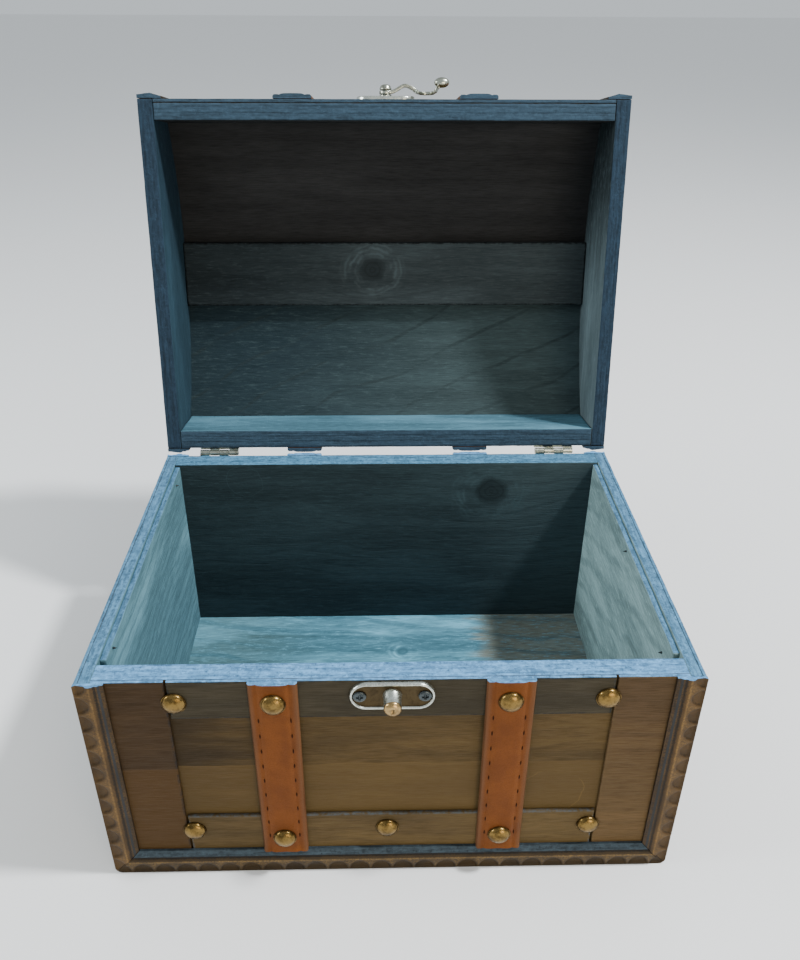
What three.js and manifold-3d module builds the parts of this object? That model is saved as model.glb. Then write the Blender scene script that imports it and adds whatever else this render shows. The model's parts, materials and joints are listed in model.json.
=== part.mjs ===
// A small wooden treasure-chest box with a domed lid, leather straps and a hook latch.
// Millimetres, +Z up, +X to the right of someone facing the front, front face towards -Y.
// The origin is on the underside, in the middle of the footprint.
// The lid is modelled closed, then swung open about its hinge pins to the rest position.

import * as THREE from 'three';
import { mergeVertices } from 'three/addons/utils/BufferGeometryUtils.js';
import Module from 'manifold-3d';

const wasm = await Module();
wasm.setup();

// ---- Driving dimensions ------------------------------------------------------------------

const WIDTH = 230;                  // over the side strips
const BASE_HEIGHT = 104;            // floor to the rim of the base
const FACE_Y = 84.5;                // front and back faces, without the mouldings
const MOULDING_THICKNESS = 2.5;     // how far the mouldings and straps stand off the faces
const MOULDING_WIDTH = 11;
const BOTTOM_MOULDING_HEIGHT = 12.5;
const BOTTOM_CORNER_RADIUS = 3;
const MITRE_GAP = 0.3;
const STRIP_THICKNESS = 1.5;        // thin strips glued round the front panel
const INNER_Y = 74.75;              // inner faces of the front and back boards
const INNER_X = 109.25;             // inner faces of the side boards
const FLOOR_THICKNESS = 4.25;
const LINING_THICKNESS = 2.5;

const LID_GAP = 1;                  // between the two rims when the lid is shut
const LID_OPEN_ANGLE = THREE.MathUtils.degToRad(101.1);
const LID_END_THICKNESS = 7;
const LID_RAIL_INNER_Y = 75.25;
const DOME_HEIGHT = 49;             // inside of the lid, rim to crown
const DOME_RADIUS = 159.5;          // inside face of the bent panels
const PANEL_THICKNESS = 3;
const BATTEN_WIDTH = 33;
const BATTEN_CLEARANCE = 42;        // rim of the lid to the face of the batten
const FIT_GAP = 0.25;               // between neighbouring pieces of the lid

const STRAP_X = 43.5;
const STRAP_WIDTH = 18;
const TACK_DIAMETER = 9.5;
const TACK_HEIGHT = 2.75;

const HINGE_X = 88;
const HINGE_WIDTH = 20;
const KNUCKLE_RADIUS = 1.5;
const KNUCKLE_BORE_RADIUS = 0.85;
const PIN_RADIUS = 0.75;
const LEAF_THICKNESS = 0.8;
const LEAF_REACH = 13;              // hinge axis to the far edge of a leaf

const KEEPER_Z = 97;
const KEEPER_LENGTH = 31.5;
const KEEPER_HEIGHT = 12.5;
const PEG_RADIUS = 3.25;
const PEG_HEIGHT = 9;
const PIVOT_ABOVE_RIM = 11.5;       // latch pivot, above the rim of the lid
const LATCH_LENGTH = 27.5;
const LATCH_HEIGHT = 12;
const ARM_THICKNESS = 1.6;
const HUB_RADIUS = 3;
const HOOK_HEAD_RADIUS = 5.6;
const RIVET_SHANK = 1.5;
const RIVET_HEAD = 2.9;
const KNOB_DISTANCE = 26.7;         // latch pivot to the middle of the finger knob
const KNOB_HEIGHT = 8;              // face to the middle of the knob
const KNOB_HALF_LENGTH = 3.7;
const KNOB_RADIUS = 2.4;

// ---- Worked out from them ----------------------------------------------------------------

const HALF_WIDTH = WIDTH / 2;
const OUTER_Y = FACE_Y + MOULDING_THICKNESS;
const BOARD_Y = FACE_Y - STRIP_THICKNESS;
const SIDE_BOARD_X = HALF_WIDTH - STRIP_THICKNESS;
const MOULDING_INNER_X = HALF_WIDTH - MOULDING_WIDTH;

const LID_Z = BASE_HEIGHT + LID_GAP;
const LID_END_X = HALF_WIDTH - LID_END_THICKNESS;
const DOME_CENTRE_Z = LID_Z + DOME_HEIGHT - DOME_RADIUS;
const DOME_OUTSIDE = DOME_RADIUS + PANEL_THICKNESS;
const UNDER_DOME = DOME_RADIUS - FIT_GAP;

const HINGE_AXIS = new THREE.Vector3(0, OUTER_Y - 0.125, BASE_HEIGHT + LID_GAP / 2);
const PIVOT_Z = LID_Z + PIVOT_ABOVE_RIM;
const HOOK_REACH = PIVOT_Z - KEEPER_Z;

const X_AXIS = new THREE.Vector3(1, 0, 0);
const Y_AXIS = new THREE.Vector3(0, 1, 0);
const Z_AXIS = new THREE.Vector3(0, 0, 1);
const MINUS_Y = new THREE.Vector3(0, -1, 0);

// ---- Materials ---------------------------------------------------------------------------

function material(color, roughness, metalness = 0) {
  return new THREE.MeshStandardMaterial({ color, roughness, metalness });
}

const brownWood = material('#5c4930', 0.6);
const darkWood = material('#443626', 0.6);
const mouldingWood = material('#64492f', 0.55);
const greyWood = material('#4d6d7b', 0.8);
const leather = material('#84491f', 0.5);
const brass = material('#a5854f', 0.35, 1);
const nickel = material('#b9bdb5', 0.3, 1);

// ---- Scene graph -------------------------------------------------------------------------

const chest = new THREE.Group();

const lidPivot = new THREE.Group();
lidPivot.position.copy(HINGE_AXIS);
lidPivot.rotation.x = -LID_OPEN_ANGLE;
chest.add(lidPivot);

const lid = new THREE.Group();
lid.position.copy(HINGE_AXIS).negate();
lidPivot.add(lid);

function addPiece(parent, name, geometry, finish) {
  const mesh = new THREE.Mesh(geometry, finish);
  mesh.name = name;
  parent.add(mesh);
}

// ---- Shape helpers -----------------------------------------------------------------------

// A box between two corners.
function block(x0, x1, y0, y1, z0, z1) {
  const geometry = new THREE.BoxGeometry(x1 - x0, y1 - y0, z1 - z0);
  return geometry.translate((x0 + x1) / 2, (y0 + y1) / 2, (z0 + z1) / 2);
}

function extrude(shape, depth, curveSegments = 12) {
  return new THREE.ExtrudeGeometry(shape, { depth, bevelEnabled: false, curveSegments });
}

// A (y, z) outline drawn out along X.
function alongX(shape, x0, x1, curveSegments) {
  const geometry = extrude(shape, x1 - x0, curveSegments);
  geometry.applyMatrix4(new THREE.Matrix4().makeBasis(Y_AXIS, Z_AXIS, X_AXIS));
  return geometry.translate(x0, 0, 0);
}

// An (x, z) outline drawn out along Y.
function alongY(shape, y0, y1, curveSegments) {
  const geometry = extrude(shape, y1 - y0, curveSegments);
  geometry.applyMatrix4(new THREE.Matrix4().makeBasis(X_AXIS, Z_AXIS, MINUS_Y));
  return geometry.translate(0, y1, 0);
}

// A turned piece that stands out of the front face: its profile runs up the axis as (r, height).
function turnedOnFront(profile, x, z, segments = 24) {
  const points = profile.map(([radius, height]) => new THREE.Vector2(radius, height));
  const geometry = new THREE.LatheGeometry(points, segments);
  geometry.rotateX(Math.PI);
  return geometry.translate(x, -FACE_Y, z);
}

function toSolid(geometry) {
  const plain = geometry.clone();
  plain.deleteAttribute('normal');
  plain.deleteAttribute('uv');
  const merged = mergeVertices(plain);
  const corners = Array.from(merged.index.array);
  const triangles = [];
  for (let i = 0; i < corners.length; i += 3) {
    const [a, b, c] = corners.slice(i, i + 3);
    const hasArea = a !== b && b !== c && c !== a;
    if (hasArea) triangles.push(a, b, c);
  }
  return new wasm.Manifold(new wasm.Mesh({
    numProp: 3,
    vertProperties: new Float32Array(merged.attributes.position.array),
    triVerts: new Uint32Array(triangles),
  }));
}

function toGeometry(solid) {
  const mesh = solid.getMesh();
  const geometry = new THREE.BufferGeometry();
  geometry.setAttribute('position', new THREE.BufferAttribute(mesh.vertProperties, mesh.numProp));
  geometry.setIndex(new THREE.BufferAttribute(mesh.triVerts, 1));
  return geometry;
}

function join(...geometries) {
  return toGeometry(geometries.map(toSolid).reduce((whole, piece) => whole.add(piece)));
}

// A plate with two straight edges and two round ends, as an (x, z) outline.
function stadium(centreX, centreZ, length, height) {
  const radius = height / 2;
  const reach = length / 2 - radius;
  const shape = new THREE.Shape();
  shape.moveTo(centreX - reach, centreZ - radius);
  shape.lineTo(centreX + reach, centreZ - radius);
  shape.absarc(centreX + reach, centreZ, radius, -Math.PI / 2, Math.PI / 2, false);
  shape.lineTo(centreX - reach, centreZ + radius);
  shape.absarc(centreX - reach, centreZ, radius, Math.PI / 2, 1.5 * Math.PI, false);
  return shape;
}

// The angle at which an arc of this radius about the dome's centre reaches a given y.
function domeAngle(radius, y) {
  return Math.acos(y / radius);
}

// ---- Base: boards ------------------------------------------------------------------------

function buildBaseBoards() {
  addPiece(chest, 'floor_panel', block(-INNER_X, INNER_X, -INNER_Y, INNER_Y, 0, FLOOR_THICKNESS), greyWood);
  addPiece(chest, 'front_board', block(-INNER_X, INNER_X, -BOARD_Y, -INNER_Y, 0, BASE_HEIGHT), brownWood);
  addPiece(chest, 'back_board', block(-INNER_X, INNER_X, INNER_Y, FACE_Y, 0, BASE_HEIGHT), brownWood);

  const slotAtFront = 4;
  const liningBelowRim = 1.25;
  const liningTop = BASE_HEIGHT - liningBelowRim;
  const liningX = INNER_X - LINING_THICKNESS;
  const liningFront = -INNER_Y + slotAtFront;
  const left = [-SIDE_BOARD_X, -INNER_X];
  const right = [INNER_X, SIDE_BOARD_X];
  addPiece(chest, 'left_side_board', block(...left, -FACE_Y, FACE_Y, 0, BASE_HEIGHT), brownWood);
  addPiece(chest, 'right_side_board', block(...right, -FACE_Y, FACE_Y, 0, BASE_HEIGHT), brownWood);
  const liningLeft = block(-INNER_X, -liningX, liningFront, INNER_Y, FLOOR_THICKNESS, liningTop);
  const liningRight = block(liningX, INNER_X, liningFront, INNER_Y, FLOOR_THICKNESS, liningTop);
  addPiece(chest, 'left_lining', liningLeft, greyWood);
  addPiece(chest, 'right_lining', liningRight, greyWood);
}

// ---- Base: thin strips round the front panel, and along the sides ------------------------

function buildStrips() {
  const topStripHeight = 18.25;
  const topStripZ = BASE_HEIGHT - topStripHeight;
  const bottomStripZ = 32;
  const uprightX = 82.75;
  const groove = 0.75;
  const railX = uprightX - groove;
  const front = [-FACE_Y, -BOARD_Y];
  addPiece(chest, 'front_strip_top', block(-railX, railX, ...front, topStripZ, BASE_HEIGHT), darkWood);
  addPiece(chest, 'front_strip_bottom', block(-railX, railX, ...front, 0, bottomStripZ), brownWood);
  addPiece(chest, 'front_strip_left', block(-INNER_X, -uprightX, ...front, 0, BASE_HEIGHT), darkWood);
  addPiece(chest, 'front_strip_right', block(uprightX, INNER_X, ...front, 0, BASE_HEIGHT), brownWood);

  const sides = { left: [-HALF_WIDTH, -SIDE_BOARD_X], right: [SIDE_BOARD_X, HALF_WIDTH] };
  for (const [side, across] of Object.entries(sides)) {
    const top = block(...across, -FACE_Y, FACE_Y, topStripZ, BASE_HEIGHT);
    const bottom = block(...across, -FACE_Y, FACE_Y, 0, bottomStripZ);
    addPiece(chest, `${side}_strip_top`, top, brownWood);
    addPiece(chest, `${side}_strip_bottom`, bottom, brownWood);
  }
}

// ---- Base: mouldings at the corners and along the bottom, mitred into each other ---------

// The right-hand upright, as an (x, z) outline. Its foot is cut on the mitre.
function uprightOutline() {
  const radius = BOTTOM_CORNER_RADIUS;
  const shape = new THREE.Shape();
  shape.moveTo(MOULDING_INNER_X, BASE_HEIGHT);
  shape.lineTo(MOULDING_INNER_X, BOTTOM_MOULDING_HEIGHT + MITRE_GAP);
  shape.absarc(HALF_WIDTH - radius, radius, radius, -0.2 * Math.PI, 0, false);
  shape.lineTo(HALF_WIDTH, BASE_HEIGHT);
  return shape;
}

function bottomOutline() {
  const radius = BOTTOM_CORNER_RADIUS;
  const centreX = HALF_WIDTH - radius;
  const shape = new THREE.Shape();
  shape.moveTo(MOULDING_INNER_X, BOTTOM_MOULDING_HEIGHT);
  shape.lineTo(-MOULDING_INNER_X, BOTTOM_MOULDING_HEIGHT);
  shape.absarc(-centreX, radius, radius, 1.25 * Math.PI, 1.5 * Math.PI, false);
  shape.absarc(centreX, radius, radius, -0.5 * Math.PI, -0.25 * Math.PI, false);
  return shape;
}

function buildBaseMouldings() {
  const faces = { front: [-OUTER_Y, -FACE_Y], back: [FACE_Y, OUTER_Y] };
  for (const [face, [y0, y1]] of Object.entries(faces)) {
    addPiece(chest, `bottom_moulding_${face}`, alongY(bottomOutline(), y0, y1, 4), mouldingWood);
    const right = alongY(uprightOutline(), y0, y1, 4);
    addPiece(chest, `corner_moulding_${face}_right`, right, mouldingWood);
    // Half a turn about Z carries a right-hand upright to the left of the opposite face.
    const left = alongY(uprightOutline(), -y1, -y0, 4).rotateZ(Math.PI);
    addPiece(chest, `corner_moulding_${face}_left`, left, mouldingWood);
  }
}

// ---- Straps and tacks of the base --------------------------------------------------------

const STRAP_SIDES = { left: -STRAP_X, right: STRAP_X };

function buildBaseStraps() {
  const half = STRAP_WIDTH / 2;
  const footGap = 0.5;
  const foot = BOTTOM_MOULDING_HEIGHT + footGap;
  for (const [side, x] of Object.entries(STRAP_SIDES)) {
    const front = block(x - half, x + half, -OUTER_Y, -FACE_Y, foot, BASE_HEIGHT);
    const back = block(x - half, x + half, FACE_Y, OUTER_Y, foot, BASE_HEIGHT);
    addPiece(chest, `strap_front_${side}`, front, leather);
    addPiece(chest, `strap_back_${side}`, back, leather);
  }
}

// A domed upholstery tack: a low lens with a small upright edge.
function tackHead(x, z, standoff) {
  const radius = TACK_DIAMETER / 2;
  const edge = 0.4;
  const rise = TACK_HEIGHT - edge;
  const sphere = (radius ** 2 + rise ** 2) / (2 * rise);
  const steps = 4;
  const profile = [[0, standoff], [radius, standoff], [radius, standoff + edge]];
  for (let i = 1; i < steps; i += 1) {
    const r = radius * (1 - i / steps);
    profile.push([r, standoff + TACK_HEIGHT - sphere + Math.sqrt(sphere ** 2 - r ** 2)]);
  }
  profile.push([0, standoff + TACK_HEIGHT]);
  return turnedOnFront(profile, x, z, 16);
}

function buildTacks() {
  const topZ = 94;
  const bottomZ = 24;
  const cornerX = 80;
  const middleX = -2;
  const onWood = {
    tack_top_left: [-cornerX, topZ],
    tack_top_right: [cornerX, topZ],
    tack_bottom_left: [-cornerX, bottomZ],
    tack_bottom_middle: [middleX, bottomZ],
    tack_bottom_right: [cornerX, bottomZ],
  };
  for (const [name, [x, z]] of Object.entries(onWood)) {
    addPiece(chest, name, tackHead(x, z, 0), brass);
  }
  const strapTackHeights = { top: 95, bottom: 21.5 };
  for (const [side, x] of Object.entries(STRAP_SIDES)) {
    for (const [end, z] of Object.entries(strapTackHeights)) {
      addPiece(chest, `strap_tack_${side}_${end}`, tackHead(x, z, MOULDING_THICKNESS), brass);
    }
  }
}

// ---- Plates of the latch: a flat stadium with a raised edge ------------------------------

function rimmedPlate(centreZ, length, height, back) {
  const sheet = 0.9;
  const rimHeight = 1.7;
  const rimWidth = 1.1;
  const front = -FACE_Y - back;
  const plate = alongY(stadium(0, centreZ, length, height), front - sheet, front);
  const outer = alongY(stadium(0, centreZ, length, height), front - rimHeight, front - sheet / 2);
  const hollow = stadium(0, centreZ, length - 2 * rimWidth, height - 2 * rimWidth);
  const inner = alongY(hollow, front - 2 * rimHeight, front);
  const rim = toSolid(outer).subtract(toSolid(inner));
  return toGeometry(toSolid(plate).add(rim));
}

function screwHead(x, z, standoff) {
  const radius = 2.5;
  const edge = 0.3;
  const height = 0.9;
  const profile = [
    [0, standoff],
    [radius, standoff],
    [radius, standoff + edge],
    [radius * 0.6, standoff + height * 0.85],
    [0, standoff + height],
  ];
  return turnedOnFront(profile, x, z, 16);
}

function buildKeeper() {
  const insidePlate = 0.3;
  const peg = turnedOnFront([
    [0, insidePlate],
    [PEG_RADIUS, insidePlate],
    [PEG_RADIUS, PEG_HEIGHT - 1.4],
    [PEG_RADIUS * 0.8, PEG_HEIGHT - 0.4],
    [PEG_RADIUS * 0.4, PEG_HEIGHT],
    [0, PEG_HEIGHT],
  ], 0, KEEPER_Z);
  const plate = rimmedPlate(KEEPER_Z, KEEPER_LENGTH, KEEPER_HEIGHT, 0);
  addPiece(chest, 'keeper_plate', join(plate, peg), nickel);
  const screwX = 12;
  const screwStandoff = 1;
  addPiece(chest, 'keeper_screw_left', screwHead(-screwX, KEEPER_Z, screwStandoff), nickel);
  addPiece(chest, 'keeper_screw_right', screwHead(screwX, KEEPER_Z, screwStandoff), nickel);
}

// ---- Hinges: two leaves with two knuckles each, on one pin --------------------------------

// One leaf on a back face. up is 1 for the lid's leaf and -1 for the base's.
function hingeLeaf(centreX, up, plateY, firstKnuckle) {
  const { y, z } = HINGE_AXIS;
  const half = HINGE_WIDTH / 2;
  const plateStart = z + up * (KNUCKLE_RADIUS + FIT_GAP);
  const plateEnd = z + up * LEAF_REACH;
  const heights = [plateStart, plateEnd].sort((a, b) => a - b);
  const plate = block(centreX - half, centreX + half, plateY, plateY + LEAF_THICKNESS, ...heights);

  const ring = new THREE.Shape();
  ring.absarc(y, z, KNUCKLE_RADIUS, 0, 2 * Math.PI, false);
  const bore = new THREE.Path();
  bore.absarc(y, z, KNUCKLE_BORE_RADIUS, 0, 2 * Math.PI, true);
  ring.holes.push(bore);

  const pitch = HINGE_WIDTH / 4;
  const sideGap = 0.1;
  const neckOverlap = 1;
  const neckEnd = z + up * (KNUCKLE_RADIUS + neckOverlap);
  const neckHeights = [z, neckEnd].sort((a, b) => a - b);
  const pieces = [plate];
  for (const index of [firstKnuckle, firstKnuckle + 2]) {
    const x0 = centreX - half + index * pitch + sideGap;
    const x1 = x0 + pitch - 2 * sideGap;
    pieces.push(alongX(ring, x0, x1, 8));
    pieces.push(block(x0, x1, plateY, y - neckOverlap, ...neckHeights));
  }
  return join(...pieces);
}

function hingePin(centreX) {
  const pin = new THREE.CylinderGeometry(PIN_RADIUS, PIN_RADIUS, HINGE_WIDTH, 12);
  pin.rotateZ(Math.PI / 2);
  return pin.translate(centreX, HINGE_AXIS.y, HINGE_AXIS.z);
}

function buildHinges() {
  for (const [side, x] of Object.entries({ left: -HINGE_X, right: HINGE_X })) {
    addPiece(chest, `hinge_${side}_base_leaf`, hingeLeaf(x, -1, FACE_Y, 0), nickel);
    addPiece(chest, `hinge_${side}_pin`, hingePin(x), nickel);
    addPiece(lid, `hinge_${side}_lid_leaf`, hingeLeaf(x, 1, FACE_Y + FIT_GAP, 1), nickel);
  }
}

// ---- Lid: rails, ends, batten and bent panels --------------------------------------------

// A board across the lid, between two y values, with its top edge cut to the dome.
function underDome(y0, y1, z0) {
  const shape = new THREE.Shape();
  shape.moveTo(y0, z0);
  shape.lineTo(y1, z0);
  shape.absarc(0, DOME_CENTRE_Z, UNDER_DOME, domeAngle(UNDER_DOME, y1), domeAngle(UNDER_DOME, y0), false);
  return shape;
}

// Part of a bent panel, as a (y, z) outline between two y values.
function bentPanel(y0, y1) {
  const outside = DOME_OUTSIDE;
  const shape = new THREE.Shape();
  shape.absarc(0, DOME_CENTRE_Z, outside, domeAngle(outside, y1), domeAngle(outside, y0), false);
  shape.absarc(0, DOME_CENTRE_Z, DOME_RADIUS, domeAngle(DOME_RADIUS, y0), domeAngle(DOME_RADIUS, y1), true);
  return shape;
}

function buildLidBody() {
  const railX = LID_END_X - FIT_GAP;
  const stripY = -BOARD_Y + FIT_GAP;
  const frontRail = alongX(underDome(stripY, -LID_RAIL_INNER_Y, LID_Z), -railX, railX, 3);
  addPiece(lid, 'lid_front_rail', frontRail, greyWood);
  const backRail = alongX(underDome(LID_RAIL_INNER_Y, FACE_Y, LID_Z), -railX, railX, 3);
  addPiece(lid, 'lid_back_rail', backRail, greyWood);
  const frontStrip = alongX(underDome(-FACE_Y, -BOARD_Y, LID_Z), -railX, railX, 2);
  addPiece(lid, 'lid_front_strip', frontStrip, brownWood);

  const end = underDome(-FACE_Y, FACE_Y, LID_Z);
  addPiece(lid, 'lid_left_end', alongX(end, -HALF_WIDTH, -LID_END_X, 24), greyWood);
  addPiece(lid, 'lid_right_end', alongX(end, LID_END_X, HALF_WIDTH, 24), greyWood);

  const half = BATTEN_WIDTH / 2;
  const batten = underDome(-half, half, LID_Z + BATTEN_CLEARANCE);
  addPiece(lid, 'lid_batten', alongX(batten, -railX, railX, 6), greyWood);

  const seam = FIT_GAP / 2;
  const frontPanel = alongX(bentPanel(-FACE_Y, -seam), -HALF_WIDTH, HALF_WIDTH, 14);
  const backPanel = alongX(bentPanel(seam, FACE_Y), -HALF_WIDTH, HALF_WIDTH, 14);
  addPiece(lid, 'lid_panel_front', frontPanel, brownWood);
  addPiece(lid, 'lid_panel_back', backPanel, brownWood);
}

// A band that climbs the front rail, follows the dome and comes down the back rail.
function bandOverLid() {
  const outside = DOME_OUTSIDE + MOULDING_THICKNESS;
  const inside = DOME_OUTSIDE + FIT_GAP;
  const innerY = FACE_Y + FIT_GAP;
  const shape = new THREE.Shape();
  shape.moveTo(-OUTER_Y, LID_Z);
  shape.lineTo(-innerY, LID_Z);
  shape.absarc(0, DOME_CENTRE_Z, inside, domeAngle(inside, -innerY), domeAngle(inside, innerY), true);
  shape.lineTo(innerY, LID_Z);
  shape.lineTo(OUTER_Y, LID_Z);
  shape.absarc(0, DOME_CENTRE_Z, outside, domeAngle(outside, OUTER_Y), domeAngle(outside, -OUTER_Y), false);
  return shape;
}

function buildLidBands() {
  const band = bandOverLid();
  addPiece(lid, 'lid_moulding_left', alongX(band, -HALF_WIDTH, -MOULDING_INNER_X, 24), mouldingWood);
  addPiece(lid, 'lid_moulding_right', alongX(band, MOULDING_INNER_X, HALF_WIDTH, 24), mouldingWood);
  for (const [side, x] of Object.entries(STRAP_SIDES)) {
    const strap = alongX(band, x - STRAP_WIDTH / 2, x + STRAP_WIDTH / 2, 24);
    addPiece(lid, `lid_strap_${side}`, strap, leather);
  }
}

// ---- Latch: plate, rivet and a hook that swings on the rivet ------------------------------

// The arm from the side, as (distance from the pivot, height off the face).
const ARM_CENTRE_LINE = [
  [-HUB_RADIUS, 3.6],
  [2, 3.6],
  [5, 4.6],
  [9, 6.6],
  [13, 5.2],
  [15.5, 3.7],
  [23, 3.7],
  [24.5, 5.4],
  [KNOB_DISTANCE, KNOB_HEIGHT],
];

function armSideOutline() {
  const points = ARM_CENTRE_LINE.map(([along, height]) => new THREE.Vector2(along, height));
  const curve = new THREE.SplineCurve(points);
  const steps = 28;
  const upper = [];
  const lower = [];
  for (let i = 0; i <= steps; i += 1) {
    const point = curve.getPoint(i / steps);
    const tangent = curve.getTangent(i / steps);
    const across = new THREE.Vector2(-tangent.y, tangent.x).multiplyScalar(ARM_THICKNESS / 2);
    upper.push(point.clone().add(across));
    lower.push(point.clone().sub(across));
  }
  return new THREE.Shape([...lower, ...upper.reverse()]);
}

// The arm from the front: hub, tapered shank and a round hook head, as an (x, z) outline.
function armPlan() {
  const shankHalf = 2.2;
  const tailHalf = 1.3;
  const shankEnd = HOOK_REACH - HOOK_HEAD_RADIUS + 2;
  const tailStart = HOOK_REACH + HOOK_HEAD_RADIUS - 1.6;
  const tailEnd = KNOB_DISTANCE + tailHalf;
  const hub = new THREE.Shape();
  hub.absarc(0, 0, HUB_RADIUS, 0, 2 * Math.PI, false);
  const head = new THREE.Shape();
  head.absarc(HOOK_REACH, 0, HOOK_HEAD_RADIUS, 0, 2 * Math.PI, false);
  const shank = new THREE.Shape([
    new THREE.Vector2(0, -shankHalf),
    new THREE.Vector2(shankEnd, -shankHalf),
    new THREE.Vector2(shankEnd, shankHalf),
    new THREE.Vector2(0, shankHalf),
  ]);
  const tail = new THREE.Shape([
    new THREE.Vector2(tailStart, -tailHalf),
    new THREE.Vector2(tailEnd, -tailHalf),
    new THREE.Vector2(tailEnd, tailHalf),
    new THREE.Vector2(tailStart, tailHalf),
  ]);
  return [hub, head, shank, tail];
}

// The space that the keeper's peg sweeps as the hook swings over it.
function pegPath() {
  const clearRadius = PEG_RADIUS + FIT_GAP;
  const sweep = -0.3 * Math.PI;
  const slot = new THREE.Shape();
  slot.absarc(0, 0, HOOK_REACH + clearRadius, 0, sweep, true);
  slot.absarc(0, 0, HOOK_REACH - clearRadius, sweep, 0, false);
  const seat = new THREE.Shape();
  seat.absarc(HOOK_REACH, 0, clearRadius, 0, 2 * Math.PI, false);
  return [slot, seat];
}

function buildArm() {
  const depth = 14;                 // more than the arm stands off the face
  const plan = armPlan().map((shape) => toSolid(alongY(shape, -depth, 0, 14)));
  const side = extrude(armSideOutline(), 2 * depth);
  side.applyMatrix4(new THREE.Matrix4().makeBasis(X_AXIS, MINUS_Y, Z_AXIS.clone().negate()));
  side.translate(0, 0, depth);
  let arm = plan.reduce((whole, piece) => whole.add(piece)).intersect(toSolid(side));
  for (const shape of pegPath()) {
    arm = arm.subtract(toSolid(alongY(shape, -depth, 0, 14)));
  }
  const boreGap = 0.1;
  const bore = new THREE.Shape();
  bore.absarc(0, 0, RIVET_SHANK + boreGap, 0, 2 * Math.PI, false);
  arm = arm.subtract(toSolid(alongY(bore, -depth, 0, 12)));

  const knob = new THREE.SphereGeometry(1, 16, 10);
  knob.scale(KNOB_HALF_LENGTH, KNOB_RADIUS, KNOB_RADIUS);
  knob.translate(KNOB_DISTANCE, -KNOB_HEIGHT, 0);
  const whole = toGeometry(arm.add(toSolid(knob)));
  return whole.translate(0, -FACE_Y, PIVOT_Z);
}

function buildLatch() {
  const plateBack = 0.1;
  addPiece(lid, 'latch_plate', rimmedPlate(PIVOT_Z, LATCH_LENGTH, LATCH_HEIGHT, plateBack), nickel);
  const flange = 1.1;               // where the rivet and screws meet the plate, off the face
  const collarTop = 2.6;
  const headBottom = 4.7;
  const headTop = 7.2;
  const rivet = turnedOnFront([
    [0, flange],
    [RIVET_HEAD, flange],
    [RIVET_HEAD, collarTop],
    [RIVET_SHANK, collarTop],
    [RIVET_SHANK, headBottom],
    [RIVET_HEAD, headBottom],
    [RIVET_HEAD, headBottom + 0.6],
    [RIVET_HEAD * 0.8, headTop - 0.6],
    [RIVET_HEAD * 0.4, headTop],
    [0, headTop],
  ], 0, PIVOT_Z);
  addPiece(lid, 'latch_rivet', rivet, nickel);
  const screwX = 10;
  addPiece(lid, 'latch_screw_left', screwHead(-screwX, PIVOT_Z, flange), nickel);
  addPiece(lid, 'latch_screw_right', screwHead(screwX, PIVOT_Z, flange), nickel);
  addPiece(lid, 'latch_arm', buildArm(), nickel);
}

buildBaseBoards();
buildStrips();
buildBaseMouldings();
buildBaseStraps();
buildTacks();
buildKeeper();
buildHinges();
buildLidBody();
buildLidBands();
buildLatch();

export default chest;
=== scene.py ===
"""A small wooden treasure chest, its domed lid open, with leather straps, tacks and a hook latch.

Pieces are built where the frame's nodes are. Those on the lid are built with the lid shut, where
everything is level, and then swung open to the frame's rest position.
"""

import json
import math

import bmesh
import bpy
from mathutils import Matrix, Vector, noise


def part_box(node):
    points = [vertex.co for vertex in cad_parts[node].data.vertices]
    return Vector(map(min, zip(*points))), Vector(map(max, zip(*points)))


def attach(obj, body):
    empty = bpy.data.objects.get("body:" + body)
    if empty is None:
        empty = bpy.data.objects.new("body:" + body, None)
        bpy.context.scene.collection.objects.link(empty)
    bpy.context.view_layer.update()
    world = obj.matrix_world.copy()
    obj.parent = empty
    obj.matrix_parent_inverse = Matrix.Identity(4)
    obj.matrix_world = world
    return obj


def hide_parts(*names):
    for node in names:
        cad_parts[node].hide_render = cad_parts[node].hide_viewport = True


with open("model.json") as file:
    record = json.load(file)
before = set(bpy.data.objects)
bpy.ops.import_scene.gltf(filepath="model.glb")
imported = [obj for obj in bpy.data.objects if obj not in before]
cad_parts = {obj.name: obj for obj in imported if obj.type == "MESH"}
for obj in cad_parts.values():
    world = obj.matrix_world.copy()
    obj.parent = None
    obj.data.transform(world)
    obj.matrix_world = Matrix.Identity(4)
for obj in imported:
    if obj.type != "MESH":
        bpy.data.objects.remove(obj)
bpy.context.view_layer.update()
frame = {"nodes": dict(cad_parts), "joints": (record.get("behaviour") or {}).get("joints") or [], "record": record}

MM = 0.001
X = Vector((1, 0, 0))
Y = Vector((0, 1, 0))
Z = Vector((0, 0, 1))
HANDS = {"left": -1, "right": 1}

# ---- What the frame says ----

RECORD = frame["record"]
BODY_OF = {node: body for body, nodes in RECORD["behaviour"]["bodies"].items() for node in nodes}
SLOT_OF = {part["node"]: part["material_slot"] for part in RECORD["subparts"]}
BASE = BODY_OF["floor_panel"]
LID = BODY_OF["lid_batten"]

LID_HINGE = next(joint for joint in frame["joints"] if joint["name"] == "lid_hinge")
HINGE_POINT = Vector(LID_HINGE["pos_m"])
OPEN_ANGLE = math.radians(LID_HINGE["range_deg"][1])
OPENED = (
    Matrix.Translation(HINGE_POINT)
    @ Matrix.Rotation(-OPEN_ANGLE, 4, "X")
    @ Matrix.Translation(-HINGE_POINT)
)
SHUT = OPENED.inverted()


def shut_box(node):
    """Lowest and highest corner of a node, with the lid shut."""
    turn = Matrix.Identity(4) if BODY_OF[node] == BASE else SHUT
    corners = [turn @ vertex.co for vertex in frame["nodes"][node].data.vertices]
    low = Vector(min(corner[axis] for corner in corners) for axis in range(3))
    high = Vector(max(corner[axis] for corner in corners) for axis in range(3))
    return low, high


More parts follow.
